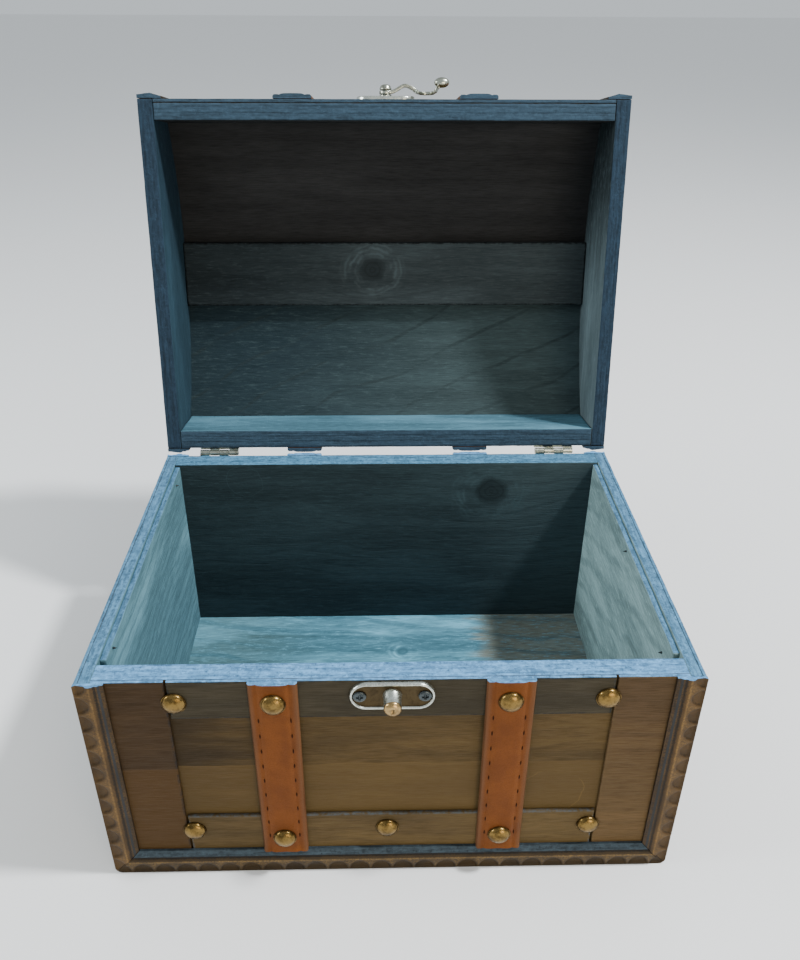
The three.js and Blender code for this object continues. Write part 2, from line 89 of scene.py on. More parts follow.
HALF_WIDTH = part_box("corner_moulding_front_right")[1].x
RIM_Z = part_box("front_board")[1].z
FACE_Y = -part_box("strap_front_left")[1].y
PROUD = -FACE_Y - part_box("strap_front_left")[0].y
LID_Z = shut_box("lid_front_rail")[0].z
DOME_TOP_Z = shut_box("lid_panel_front")[1].z
PANEL_THICKNESS = 3 * MM

# ---- Camera, floor and light ----

CAMERA_PLACE = Vector((-4.0, -325.7, 330.1)) * MM
CAMERA_PITCH = math.radians(30.5)
CAMERA_YAW = math.radians(1.5)
CAMERA_ROLL = math.radians(0.35)
CAMERA_LENS = 33.4


def add_object(name, data):
    made = bpy.data.objects.new(name, data)
    bpy.context.scene.collection.objects.link(made)
    return made


def aimed(place, direction):
    """Stands at a place and looks along a direction."""
    return Matrix.Translation(place) @ direction.to_track_quat("-Z", "Y").to_matrix().to_4x4()


def build_camera():
    forward = Vector((
        math.sin(CAMERA_YAW) * math.cos(CAMERA_PITCH),
        math.cos(CAMERA_YAW) * math.cos(CAMERA_PITCH),
        -math.sin(CAMERA_PITCH),
    ))
    data = bpy.data.cameras.new("camera")
    data.lens = CAMERA_LENS
    data.sensor_width = 36
    data.clip_start = 0.01
    camera = add_object("camera", data)
    camera.matrix_world = aimed(CAMERA_PLACE, forward) @ Matrix.Rotation(CAMERA_ROLL, 4, "Z")
    bpy.context.scene.camera = camera


def add_area(name, place, aim, size, power, colour):
    data = bpy.data.lights.new(name, "AREA")
    data.shape = "DISK"
    data.size = size
    data.energy = power
    data.color = colour
    add_object(name, data).matrix_world = aimed(place, Vector(aim) - Vector(place))


WORLD_COLOUR = (0.88, 0.95, 1.0, 1)
WORLD_STRENGTH = 0.72
FLOOR_SIZE = 6
FLOOR_COLOUR = (0.86, 0.86, 0.86)

# Each light is its place, what it is aimed at, its size, power and colour.
LIGHTS = {
    "key": ((0.72, -0.12, 1.25), (0, 0, 0.05), 0.14, 26, (0.95, 0.98, 1.0)),
    "low_left": ((-1.15, -0.1, 0.6), (0.08, 0, 0.1), 0.45, 9, (0.93, 0.98, 1.0)),
    "warm_fill": ((0.55, -1.2, 0.45), (0.03, 0, 0.08), 0.7, 7, (1.0, 0.86, 0.66)),
}


def build_studio():
    world = bpy.data.worlds.new("studio")
    bpy.context.scene.world = world
    world.use_nodes = True
    background = world.node_tree.nodes["Background"]
    background.inputs["Color"].default_value = WORLD_COLOUR
    background.inputs["Strength"].default_value = WORLD_STRENGTH
    for name, setting in LIGHTS.items():
        add_area(name, *setting)

    bm = bmesh.new()
    bmesh.ops.create_grid(bm, x_segments=1, y_segments=1, size=FLOOR_SIZE)
    mesh = bpy.data.meshes.new("floor")
    bm.to_mesh(mesh)
    bm.free()
    mesh.materials.append(Graph("pale_floor").shade(colour=FLOOR_COLOUR, roughness=0.9))
    add_object("floor", mesh)


# ---- Materials ----


def srgb(code):
    """A hex colour as linear red, green and blue."""
    channels = [int(code[i:i + 2], 16) / 255 for i in (1, 3, 5)]
    return tuple(c / 12.92 if c <= 0.04045 else ((c + 0.055) / 1.055) ** 2.4 for c in channels)


def shade_of(code, share):
    """A hex colour made darker or paler."""
    return tuple(min(1.0, channel * share) for channel in srgb(code))


class Graph:
    """A material's node tree, with short calls for the nodes that these materials use."""

    def __init__(self, name):
        self.material = bpy.data.materials.new(name)
        self.material.use_nodes = True
        self.tree = self.material.node_tree
        self.shader = self.tree.nodes["Principled BSDF"]

    def node(self, kind, inputs=None, **settings):
        made = self.tree.nodes.new(kind)
        for key, value in settings.items():
            setattr(made, key, value)
        for key, value in (inputs or {}).items():
            self.feed(made.inputs[key], value)
        return made

    def feed(self, socket, value):
        """Links a socket to a socket, or sets it to a constant."""
        if isinstance(value, bpy.types.NodeSocket):
            self.tree.links.new(value, socket)
        elif isinstance(value, (tuple, list, Vector)) and len(value) == 3 and socket.type == "RGBA":
            socket.default_value = (*value, 1)
        else:
            socket.default_value = value

    def place(self, on_lid=False):
        """The point in millimetres, with the lid shut."""
        inputs = {"Vector": self.node("ShaderNodeTexCoord").outputs["Object"], "Scale": (1 / MM,) * 3}
        if on_lid:
            inputs.update({"Rotation": (OPEN_ANGLE, 0, 0), "Location": SHUT.translation / MM})
        return self.node("ShaderNodeMapping", inputs).outputs["Vector"]

    def stretch(self, point, scale):
        return self.node("ShaderNodeMapping", {"Vector": point, "Scale": scale}).outputs["Vector"]

    def noise(self, point, scale, detail=3, roughness=0.5, distortion=0):
        inputs = {"Vector": point, "Scale": scale, "Detail": detail, "Roughness": roughness}
        return self.node("ShaderNodeTexNoise", {**inputs, "Distortion": distortion}).outputs["Fac"]

    def math(self, operation, a, b=0.0):
        return self.node("ShaderNodeMath", {0: a, 1: b}, operation=operation).outputs[0]

    def add(self, a, b):
        return self.math("ADD", a, b)

    def subtract(self, a, b):
        return self.math("SUBTRACT", a, b)

    def times(self, a, b):
        return self.math("MULTIPLY", a, b)

    def distance(self, a, b):
        """The length of the two together."""
        return self.math("SQRT", self.add(self.times(a, a), self.times(b, b)))

    def spread(self, value, low, high, to_low=0.0, to_high=1.0):
        """Maps low..high to to_low..to_high, and clamps."""
        inputs = {"Value": value, "From Min": low, "From Max": high, "To Min": to_low, "To Max": to_high}
        return self.node("ShaderNodeMapRange", inputs, interpolation_type="SMOOTHSTEP").outputs["Result"]

    def line(self, value, level, half_width):
        """1 where the value is at the level, falling to 0 at half_width from it."""
        return self.spread(self.math("ABSOLUTE", self.subtract(value, level)), half_width, 0.0)

    def mix(self, factor, a, b, blend="MIX"):
        made = self.node("ShaderNodeMix", data_type="RGBA", blend_type=blend)
        for key, value in (("Factor", factor), ("A", a), ("B", b)):
            self.feed(made.inputs[key], value)
        return made.outputs["Result"]

    def grey(self, value):
        return self.node("ShaderNodeCombineColor", {"Red": value, "Green": value, "Blue": value}).outputs[0]

    def split(self, point):
        return self.node("ShaderNodeSeparateXYZ", {0: point}).outputs

    def wear(self):
        """1 on the eased edges of a board, and 0 on its faces.

        Some boards use it for painted shade lines along their edges, and on the mouldings it holds
        painted shade in the cuts and a painted highlight on the bead.
        """
        return self.node("ShaderNodeAttribute", attribute_name="wear").outputs["Fac"]

    def bump(self, height, depth, strength=1.0):
        inputs = {"Height": height, "Distance": depth, "Strength": strength}
        return self.node("ShaderNodeBump", inputs).outputs["Normal"]

    def shade(self, colour, roughness=0.6, metallic=0.0, normal=None, specular=0.5):
        self.feed(self.shader.inputs["Base Color"], colour)
        self.feed(self.shader.inputs["Roughness"], roughness)
        self.shader.inputs["Metallic"].default_value = metallic
        self.shader.inputs["Specular IOR Level"].default_value = specular
        if normal is not None:
            self.feed(self.shader.inputs["Normal"], normal)
        return self.material


# How much a pattern is drawn out along the grain: fibres a lot, clouds of stain a little.
FIBRE_STRETCH = {"X": (0.05, 1, 1), "Y": (1, 0.05, 1), "Z": (1, 1, 0.05)}
CLOUD_STRETCH = {"X": (0.3, 1.4, 1.4), "Y": (1.4, 0.3, 1.4), "Z": (1.4, 1.4, 0.3)}


def bend_round_knots(graph, point, along, across, knots):
    """Bends the grain lines round each knot, and draws its disc, rings and pale halo."""
    bent, rings, discs, halo = across, 0.0, 0.0, 0.0
    tremble = graph.times(graph.noise(point, 0.16), 0.55)
    for centre_along, centre_across, radius in knots:
        offset = graph.subtract(across, centre_across)
        a = graph.times(graph.subtract(along, centre_along), 1 / (radius * 1.15))
        smooth_distance = graph.distance(a, graph.times(offset, 1 / radius))
        reach = graph.math("EXPONENT", graph.times(graph.times(smooth_distance, smooth_distance), -0.3))
        bent = graph.subtract(bent, graph.times(offset, reach))
        distance = graph.add(smooth_distance, tremble)
        ripple = graph.math("SINE", graph.times(distance, 2 * math.pi * radius / 2.4))
        disc = graph.spread(distance, 1.32, 0.9)
        discs = graph.math("MAXIMUM", discs, disc)
        rings = graph.math("MAXIMUM", rings, graph.times(disc, graph.spread(ripple, -0.2, 1.0)))
        curls = graph.times(graph.line(distance, 1.75, 1.0), graph.spread(ripple, -0.6, 0.9, 0.4, 1.0))
        halo = graph.math("MAXIMUM", halo, curls)
    return bent, rings, discs, halo


def growth_lines(graph, point, along, bent, slant, pitch, thinness):
    """Dark lines of late wood at the given pitch, which wander and may run aslant."""
    sway = graph.times(graph.noise(graph.stretch(point, (0.35,) * 3), 0.04, detail=2), 26)
    field = graph.add(graph.add(bent, sway), graph.times(along, slant))
    phase = graph.math("SINE", graph.times(field, 2 * math.pi / pitch))
    return graph.spread(phase, thinness, 1.0)


def curled_scratches(graph, colour, point, along, across, scratches, light):
    """Faint pale scratches that curl, each at a place with a radius and a strength."""
    for centre_along, centre_across, radius, strength in scratches:
        a = graph.subtract(along, centre_along)
        round_it = graph.distance(a, graph.subtract(across, centre_across))
        wandering = graph.add(round_it, graph.times(graph.noise(point, 0.08), 9))
        broken = graph.spread(graph.noise(point, 0.07, detail=1), 0.36, 0.48, 0.0, strength)
        colour = graph.mix(graph.times(graph.line(wandering, radius + 4.5, 0.35), broken), colour, light)
    return colour


def wood(name, code, along="X", across="Z", on_lid=False, pitch=8, figure=0.2, shading=0.45, blotch=0.35,
         chalk=0.0, contrast=0.3, knots=(), slant=0.0, thinness=0.35, edge=None, edge_amount=0.6, lap=None,
         patches=(), scratches=(), roughness=(0.5, 0.72)):
    """Stained wood. Its one colour is made darker for the grain and paler for blotches.

    figure is for the growth lines, shading for broad dark bands, chalk for pale fibres and contrast
    for the pores. lap is a height below which a second coat of another colour shows. Each patch
    tints the wood from one level to another along an axis; some are stains, and some are painted
    shade and painted light, standing in for how the lamps fall on the front, the walls and the lid.
    """
    graph = Graph(name)
    deep, base, light = shade_of(code, 0.42), srgb(code), shade_of(code, 1.8)
    point = graph.place(on_lid)
    parts = graph.split(point)
    grain = graph.stretch(point, FIBRE_STRETCH[along])
    bent, rings, discs, halo = bend_round_knots(graph, point, parts[along], parts[across], knots)

    fibre = graph.noise(grain, 2.6, detail=5, roughness=0.65)
    band = graph.noise(grain, 0.16, distortion=0.4)
    cloud = graph.noise(graph.stretch(point, CLOUD_STRETCH[along]), 0.03, detail=4, roughness=0.6)
    lines = graph.times(
        growth_lines(graph, point, parts[along], bent, slant, pitch, thinness),
        graph.spread(band, 0.35, 0.65, 0.25, 1.0),
    )

    tone = graph.spread(graph.add(band, graph.times(cloud, 0.6)), 0.5, 1.05, 1.0 - shading, 1.0)
    colour = graph.mix(tone, deep, base)
    colour = graph.mix(graph.spread(cloud, 0.46, 0.68, 0.0, blotch), colour, light)
    # Each patch mixes in its colour from one level to another; some are stains, and some are painted shade and
    # painted light.
    for axis, start, end, tint, amount in patches:
        ragged = graph.add(parts[axis], graph.spread(band, 0.3, 0.7, 0.0, 14))
        colour = graph.mix(graph.spread(ragged, start, end, 0.0, amount), colour, srgb(tint))
    colour = graph.mix(graph.times(lines, figure), colour, deep)
    if chalk:
        streaks = graph.noise(graph.stretch(point, CLOUD_STRETCH[along]), 0.55, detail=5, roughness=0.75)
        colour = graph.mix(graph.spread(streaks, 0.5, 0.7, 0.0, chalk), colour, light)
    pores = graph.spread(fibre, 0.3, 0.62, 1.06 - contrast, 1.06)
    colour = graph.mix(1.0, colour, graph.grey(pores), "MULTIPLY")
    if lap:
        level, coat = lap
        height = graph.add(parts["Z"], graph.times(graph.noise(point, 0.035, detail=2), 5))
        below = graph.spread(height, level + 2.8, level + 2.2, 0.0, 0.6)
        colour = graph.mix(below, colour, srgb(coat))
        colour = graph.mix(graph.times(graph.line(height, level + 2.5, 0.7), 0.3), colour, light)
    if knots:
        wisps = graph.spread(graph.noise(point, 0.12, detail=4), 0.4, 0.62)
        colour = graph.mix(graph.times(graph.times(halo, wisps), 0.9), colour, light)
        colour = graph.mix(graph.times(discs, 0.7), colour, deep)
        colour = graph.mix(graph.times(rings, 0.3), colour, shade_of(code, 0.25))
    colour = curled_scratches(graph, colour, point, parts[along], parts[across], scratches, light)
    # The eased edges take the edge colour: rubbed wood on some boards, and painted highlights and painted shade
    # lines on others.
    if edge:
        edge_rub_and_shade = graph.spread(graph.noise(point, 0.5, detail=4, roughness=0.7), 0.38, 0.62, 0.0, edge_amount)
        colour = graph.mix(graph.times(graph.wear(), edge_rub_and_shade), colour, srgb(edge))
    return graph.shade(
        colour=colour,
        roughness=graph.spread(fibre, 0.3, 0.7, roughness[1], roughness[0]),
        normal=graph.bump(graph.subtract(fibre, graph.times(lines, 0.25)), 0.27 * MM, 0.8),
        specular=0.12,
    )


def wash(name, code, **looks):
    """A thin matt wash over bare wood, with chalky fibres."""
    looks = {"chalk": 0.3, "roughness": (0.7, 0.9), "pitch": 6, **looks}
    return wood(name, code, **looks)


def carved(name, hollow_stain_and_shade, middle, crest, on_lid=False):
    """Carved moulding: dark in the cuts, partly stain and partly painted shade, and paler on the crest,
    partly rubbed and partly a painted highlight.
    """
    graph = Graph(name)
    point = graph.place(on_lid)
    fine = graph.noise(point, 1.5, detail=4, roughness=0.65)
    cloud = graph.noise(point, 0.09, detail=4, roughness=0.6)
    # Low values darken the cuts as painted shade; high ones brighten the crest, partly rubbed and partly a painted
    # highlight.
    rubbed = graph.add(graph.wear(), graph.spread(fine, 0.35, 0.65, -0.12, 0.12))
    colour = graph.mix(graph.spread(rubbed, 0.0, 0.42), srgb(hollow_stain_and_shade), srgb(middle))
    colour = graph.mix(graph.spread(rubbed, 0.6, 1.0), colour, srgb(crest))
    colour = graph.mix(graph.spread(cloud, 0.42, 0.66, 0.0, 0.4), colour, srgb(hollow_stain_and_shade))
    return graph.shade(
        colour=colour,
        roughness=graph.spread(fine, 0.3, 0.7, 0.5, 0.7),
        normal=graph.bump(fine, 0.2 * MM, 0.5),
        specular=0.2,
    )


def rim_paint_and_reflection(name, code, along, on_lid=False, specks=0.8):
    """Thin chalky paint on a sawn edge: ply lines along it, pits and pale flecks.

    The pale blue of the base rims is partly the paint and partly a painted reflection of cool light.
    """
    graph = Graph(name)
    deep, base, light = shade_of(code, 0.4), srgb(code), shade_of(code, 2.0)
    point = graph.place(on_lid)
    across = graph.split(point)["Y" if along == "X" else "X"]
    drawn_out = graph.stretch(point, FIBRE_STRETCH[along])
    streaks = graph.noise(drawn_out, 0.9, detail=4, roughness=0.6)
    grit = graph.noise(point, 0.6, detail=4, roughness=0.75)
    mottle = graph.noise(graph.stretch(point, CLOUD_STRETCH[along]), 0.6, detail=3, roughness=0.6)
    cloud = graph.noise(point, 0.05)
    sway = graph.times(graph.noise(drawn_out, 0.4), 1.6)
    plies = graph.math("SINE", graph.times(graph.add(across, sway), 2 * math.pi / 2.9))
    seams = graph.times(graph.spread(plies, 0.35, 0.95), graph.spread(cloud, 0.35, 0.6, 0.15, 0.5))
    colour = graph.mix(graph.spread(streaks, 0.3, 0.56, 0.35, 1.0), deep, base)
    colour = graph.mix(seams, colour, deep)
    colour = graph.mix(graph.spread(mottle, 0.38, 0.72, 0.0, specks * 0.8), colour, light)
    colour = graph.mix(graph.spread(grit, 0.5, 0.72, 0.0, specks), colour, light)
    colour = graph.mix(graph.spread(grit, 0.46, 0.32, 0.0, specks), colour, deep)
    height = graph.subtract(graph.add(streaks, grit), graph.times(seams, 0.6))
    return graph.shade(colour=colour, roughness=0.85, normal=graph.bump(height, 0.4 * MM, 0.8), specular=0.2)


def leather():
    graph = Graph("strap_leather")
    point = graph.place()
    cells = graph.node("ShaderNodeTexVoronoi", {"Vector": point, "Scale": 1.5}, feature="F1")
    cloud = graph.noise(point, 0.07, detail=4, roughness=0.6)
    fine = graph.noise(point, 2.2, detail=4, roughness=0.7)
    colour = graph.mix(graph.spread(cloud, 0.35, 0.65), srgb("#603412"), srgb("#6c3c14"))
    colour = graph.mix(graph.spread(fine, 0.45, 0.7, 0.0, 0.25), colour, srgb("#38200c"))
    colour = graph.mix(graph.times(graph.wear(), 0.6), colour, srgb("#5e4430"))
    height = graph.add(graph.times(cells.outputs["Distance"], 0.6), graph.times(fine, 0.5))
    return graph.shade(
        colour=colour,
        roughness=graph.spread(fine, 0.3, 0.7, 0.5, 0.68),
        normal=graph.bump(height, 0.14 * MM, 0.6),
        specular=0.1,
    )


def metal(name, base, tarnish, amount, roughness=(0.18, 0.4)):
    """Metal with clouds of tarnish and shallow dents."""
    graph = Graph(name)
    point = graph.place()
    cloud = graph.noise(point, 0.35, detail=4, roughness=0.65)
    fine = graph.noise(point, 2.5, detail=4, roughness=0.7)
    dull = graph.spread(cloud, 0.42, 0.7, 0.0, amount)
    return graph.shade(
        colour=graph.mix(dull, srgb(base), srgb(tarnish)),
        roughness=graph.spread(fine, 0.3, 0.7, *roughness),
        metallic=1.0,
        normal=graph.bump(graph.add(cloud, graph.times(fine, 0.15)), 0.09 * MM, 0.6),
    )


def waxed_thread():
    graph = Graph("strap_thread")
    fine = graph.noise(graph.place(), 3)
    colour = graph.mix(graph.spread(fine, 0.3, 0.7), srgb("#1e0e06"), srgb("#34190a"))
    return graph.shade(colour=colour, roughness=0.9, normal=graph.bump(fine, 0.05 * MM, 0.5), specular=0.08)


# Blue-grey on the eased edges of the strips and the lid's front: partly blue paint run over from the rim, and
# partly a painted highlight where the edges catch the cool light from above.
BLUE_EDGE_AND_HIGHLIGHT = "#4a6070"
# Dark on the eased edges of the top strip and the left upright: partly dark paint, and partly painted shade for
# the shadow line under the rim and along the groove.
DARK_EDGE_AND_SHADE = "#161c20"
TAN_EDGE = "#5c4a30"
OLIVE = "#4c3c20"
STRIP_BROWN = "#504024"
SIDE_BROWN = "#483818"
LID_BROWN = "#4c3a18"
CARVED_BROWN = ("#1a1208", "#4c381c", "#785c32")
# The grey line down the moulding's inner bevel is a painted highlight, where the bevel catches the light.
BEVEL_HIGHLIGHT_GREY = ("#1c1c1c", "#2c2e30", "#44484a")

# Each knot is (along the grain, across it, radius), in millimetres.
BACK_KNOTS = ((54.5, 87, 9),)
BATTEN_KNOTS = ((-7, -2.6, 7),)
FLOOR_KNOTS = ((8, 44, 3.5),)

# The height of the lap between two coats of stain on the front.
LAP_Z = 59

MATERIALS = {
    # The front panel is painted darker towards the left: painted shade, for the light falling off across the
    # front.
    "panel": wood("panel_stain_and_shade", OLIVE, edge=TAN_EDGE, lap=(LAP_Z, "#584525"),
                  scratches=((63, 41, 13, 0.8),), patches=(("X", -35, -75, "#241a0c", 0.7),)),
    "strip": wood("strip_stain", STRIP_BROWN, edge=BLUE_EDGE_AND_HIGHLIGHT, edge_amount=0.45),
    "upright": wood("upright_stain", "#584428", shading=0.3, blotch=0.2, edge=TAN_EDGE,
                    patches=(("Z", 60, 95, "#38291a", 0.5),)),
    "dark_strip": wood("dark_strip_stain", "#383224", edge=DARK_EDGE_AND_SHADE, edge_amount=0.8),
    # The left upright is darker than the right one: partly its stain, and partly painted shade, as the front
    # darkens towards the left.
    "dark_upright": wood("dark_upright_stain_and_shade", "#3a2a16", shading=0.3, edge=DARK_EDGE_AND_SHADE,
                         lap=(LAP_Z, "#4c3618")),
    "side": wood("side_stain", SIDE_BROWN, along="Y", edge=TAN_EDGE),
    "side_strip": wood("side_strip_stain", STRIP_BROWN, along="Y", edge=BLUE_EDGE_AND_HIGHLIGHT, edge_amount=0.45),
    "dome": wood("dome_stain", SIDE_BROWN, across="Y", on_lid=True, edge=TAN_EDGE),
    "lid_face": wood("lid_face_stain", LID_BROWN, on_lid=True, edge=BLUE_EDGE_AND_HIGHLIGHT),
    "lid_side": wood("lid_side_stain", LID_BROWN, along="Y", on_lid=True, edge=TAN_EDGE),
    "moulding": carved("moulding_stain_and_shade", *CARVED_BROWN),
    "lid_moulding": carved("lid_moulding_stain_and_shade", *CARVED_BROWN, on_lid=True),
    "foot": carved("foot_stain_and_shade", "#120c06", "#382a14", "#745c34"),
    "bevel": carved("bevel_highlight", *BEVEL_HIGHLIGHT_GREY),
    "lid_bevel": carved("lid_bevel_highlight", *BEVEL_HIGHLIGHT_GREY, on_lid=True),
    # The back wall's dark colour is partly its wash and partly painted shade, for the shade inside the box; its
    # paler patch to the right is partly a paler wash and partly painted light that thins the right wall's shadow
    # there.
    "back_wall": wash("back_wall_wash_and_shade", "#2c3a3e", chalk=0.4, knots=BACK_KNOTS,
                      scratches=((-74, 94, 9, 0.3),), patches=(("X", 40, 95, "#48585c", 0.5),)),
    # The warm pale patch from 50 mm to the right is painted light: it tints the floor where the right wall's
    # shadow falls on it.
    "floor": wash("floor_wash_and_painted_light", "#6098ac", across="Y", pitch=13, figure=0.6, shading=0.9, blotch=1.0,
                  chalk=0.55, contrast=0.5, slant=0.15, knots=FLOOR_KNOTS,
                  patches=(("X", 50, 62, "#8e8a78", 0.75), ("X", -20, -80, "#586c64", 0.45))),
    "left_lining": wash("left_lining_wash", "#628a96", along="Y", figure=0.4, shading=0.6, blotch=0.6,
                        chalk=0.25, contrast=0.4),
    # The right lining is paler than the left one: partly its wash, and partly painted light, as it faces away from
    # the key lamp.
    "right_lining": wash("right_lining_wash_and_painted_light", "#94b0b0", along="Y", pitch=16, figure=0.5, shading=0.6,
                         chalk=0.5, contrast=0.4, slant=0.4),
    # The upper board of the open lid is near black: partly its wash, and partly painted shade for the shade under
    # the lid's front rail.
    "lid_upper": wash("lid_upper_wash_and_shade", "#282828", across="Y", on_lid=True, figure=0.12, chalk=0.12),
    # The lower board of the open lid is painted darker towards the left: painted shade, so that its left part is
    # as dark as its right part in the shade of the lid's right end.
    "lid_lower": wash("lid_lower_wash_and_shade", "#384648", across="Y", on_lid=True, pitch=21, figure=0.6,
                      thinness=0.93, slant=0.45, chalk=0.3, patches=(("X", 60, -80, "#182830", 0.8),)),
    # The batten is painted darker towards the left and near black on its eased edges: both are painted shade, the
    # black edges for the shadow line under the batten.
    "batten": wash("batten_wash_and_shade", "#363e40", across="Y", on_lid=True, pitch=4, figure=0.3,
                   patches=(("X", 5, -75, "#10181c", 0.6),), knots=BATTEN_KNOTS, edge="#080808",
                   edge_amount=0.9),
    "lid_rail": wash("lid_rail_wash", "#507888", on_lid=True, shading=0.7, blotch=0.6, chalk=0.6),
    "lid_left": wash("lid_left_wash", "#2c424e", along="Y", on_lid=True,
                     patches=(("Y", 10, -60, "#182430", 0.6),)),
    "lid_right": wash("lid_right_wash", "#647478", along="Y", on_lid=True,
                      patches=(("Y", 25, -45, "#12181a", 0.9),)),
    # The base rims are pale blue: partly their paint, and partly a painted reflection of the cool light from
    # above. The lid rims have the same paint, darker.
    "rim": rim_paint_and_reflection("rim_paint_and_reflection", "#5484ac", "X"),
    "back_rim": rim_paint_and_reflection("back_rim_paint_and_reflection", "#44708c", "X"),
    "side_rim": rim_paint_and_reflection("side_rim_paint_and_reflection", "#48708c", "Y"),
    "ledge": rim_paint_and_reflection("ledge_paint", "#2e383e", "X"),
    "lid_rim": rim_paint_and_reflection("lid_rim_paint", "#2c3e4c", "X", on_lid=True, specks=0.45),
    "lid_side_rim": rim_paint_and_reflection("lid_side_rim_paint", "#1e2e3c", "Y", on_lid=True, specks=0.5),
    "leather": leather(),
    "thread": waxed_thread(),
    # The plates and the peg use a paler copy of the latch nickel: a painted reflection of the bright light that
    # they mirror.
    "nickel_with_painted_sheen": metal("plate_nickel", "#c8ccc4", "#908a78", 0.4),
    "brass": metal("tack_brass", "#7c6438", "#443418", 0.85),
    # The rolled edge of each tack is dark: partly patina, and partly painted shade where the head meets the
    # leather and the wood.
    "brass_rim": metal("tack_rim_patina_and_shade", "#4c3c20", "#1c160c", 0.7, roughness=(0.35, 0.6)),
    "nickel": metal("latch_nickel", "#a8aca0", "#6c6450", 0.6),
    # The recess of each plate is brown: partly tarnish, and partly a painted reflection of the dark wood round it.
    "recess": metal("recess_tarnish_and_reflection", "#4c402c", "#2c2418", 0.6, roughness=(0.4, 0.65)),
    "peg_tip": metal("peg_tip_brass", "#a88c60", "#5c4a30", 0.7),
    "dark_steel": metal("screw_steel", "#4c5254", "#242828", 0.6),
}

# ---- Mesh helpers ----


def to_object(bm, name, materials, sharp_degrees=48):
    bmesh.ops.recalc_face_normals(bm, faces=bm.faces)
    mesh = bpy.data.meshes.new(name)
    bm.to_mesh(mesh)
    bm.free()
    for key in materials:
        mesh.materials.append(MATERIALS[key])
    mesh.shade_smooth()
    mesh.set_sharp_from_angle(angle=math.radians(sharp_degrees))
    return add_object(name, mesh)


def bridge(bm, first, second):
    """Joins two closed rings of points, or a ring and the one point that it closes on."""
    count = max(len(first), len(second))
    made = []
    for i in range(count):
        pairs = ((first, i), (first, i + 1), (second, i + 1), (second, i))
        corners = dict.fromkeys(ring[k % len(ring)] for ring, k in pairs)
        made.append(bm.faces.new(list(corners)))
    return made


def settle(piece, body, slot, *nodes):
    """Swings a piece of the lid open, joins it to its body, and hides the nodes that it stands for."""
    if body != BASE:
        piece.data.transform(OPENED)
    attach(piece, body)
    if nodes:
        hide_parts(*nodes)
    return piece


def make_piece(bm, name, materials, body, slot, *nodes, sharp_degrees=48):
    return settle(to_object(bm, name, materials, sharp_degrees), body, slot, *nodes)


def make_node_piece(bm, node, ending, materials, sharp_degrees=48):
    """Makes the piece that stands for one node."""
    return make_piece(bm, f"{node}_{ending}", materials, BODY_OF[node], SLOT_OF[node], node,
                      sharp_degrees=sharp_degrees)


def node_mesh(node):
    """A node's solid with its flat faces whole, and with the lid shut."""
    bm = bmesh.new()
    bm.from_mesh(frame["nodes"][node].data)
    if BODY_OF[node] != BASE:
        bmesh.ops.transform(bm, matrix=SHUT, verts=bm.verts)
    bmesh.ops.remove_doubles(bm, verts=bm.verts, dist=0.002 * MM)
    bmesh.ops.dissolve_limit(bm, angle_limit=math.radians(0.5), verts=bm.verts, edges=bm.edges)
    return bm


def ease_edges(bm, width):
    """Rounds every sharp edge, and marks the new faces."""
    eased = bm.faces.layers.int.new("eased")
    sharp = [e for e in bm.edges if e.is_manifold and e.calc_face_angle(0) > math.radians(30)]
    made = bmesh.ops.bevel(bm, geom=sharp, offset=width, segments=2, profile=0.5, affect="EDGES",
                           clamp_overlap=True)
    for face in made["faces"]:
        face[eased] = 1


BOARD_EASE = 0.4 * MM
BOARD_CELL = 6 * MM
EDGE_RING = 1.1 * MM
FACE_UNEVENNESS = 0.05 * MM
EDGE_UNEVENNESS = 0.09 * MM


def cut_into_cells(bm, cell):
    """Cuts a board across all three axes and close to its edges, so that its faces can be uneven."""
    for axis, direction in enumerate((X, Y, Z)):
        low = min(v.co[axis] for v in bm.verts)
        high = max(v.co[axis] for v in bm.verts)
        if high - low < 4 * EDGE_RING:
            continue
        count = round((high - low) / cell)
        levels = [low + (high - low) * index / count for index in range(1, count)]
        for level in [low + EDGE_RING, *levels, high - EDGE_RING]:
            everything = bm.verts[:] + bm.edges[:] + bm.faces[:]
            bmesh.ops.bisect_plane(bm, geom=everything, plane_co=direction * level, plane_no=direction)


def roughen(bm, face_amount, edge_amount):
    """Makes the faces a little uneven and the edges a little ragged, and stores the wear."""
    eased = bm.faces.layers.int["eased"]
    wear = bm.verts.layers.float.new("wear")
    for vertex in bm.verts:
        on_edge = any(face[eased] for face in vertex.link_faces)
        vertex[wear] = 1.0 if on_edge else 0.0
        place = vertex.co.copy()
        vertex.co += noise.noise_vector(place / (9 * MM)) * face_amount
        if on_edge:
            vertex.co += noise.noise_vector(place / (2.4 * MM)) * edge_amount


SIDES = {"+X": X, "-X": -X, "+Y": Y, "-Y": -Y, "+Z": Z, "-Z": -Z}


def paint_sides(bm, main, sides):
    """Gives each face the finish of the side that it looks to, and returns the finishes in order."""
    finishes = [main]
    for finish in sides.values():
        if finish not in finishes:
            finishes.append(finish)
    for face in bm.faces:
        face.normal_update()
        for side, finish in sides.items():
            if face.normal.dot(SIDES[side]) > 0.72:
                face.material_index = finishes.index(finish)
    return finishes


def build_board(node, main, sides):
    bm = node_mesh(node)
    bmesh.ops.recalc_face_normals(bm, faces=bm.faces)
    ease_edges(bm, BOARD_EASE)
    cut_into_cells(bm, BOARD_CELL)
    finishes = paint_sides(bm, main, sides)
    roughen(bm, FACE_UNEVENNESS, EDGE_UNEVENNESS)
    make_node_piece(bm, node, "wood", finishes)


# ---- Boards ----

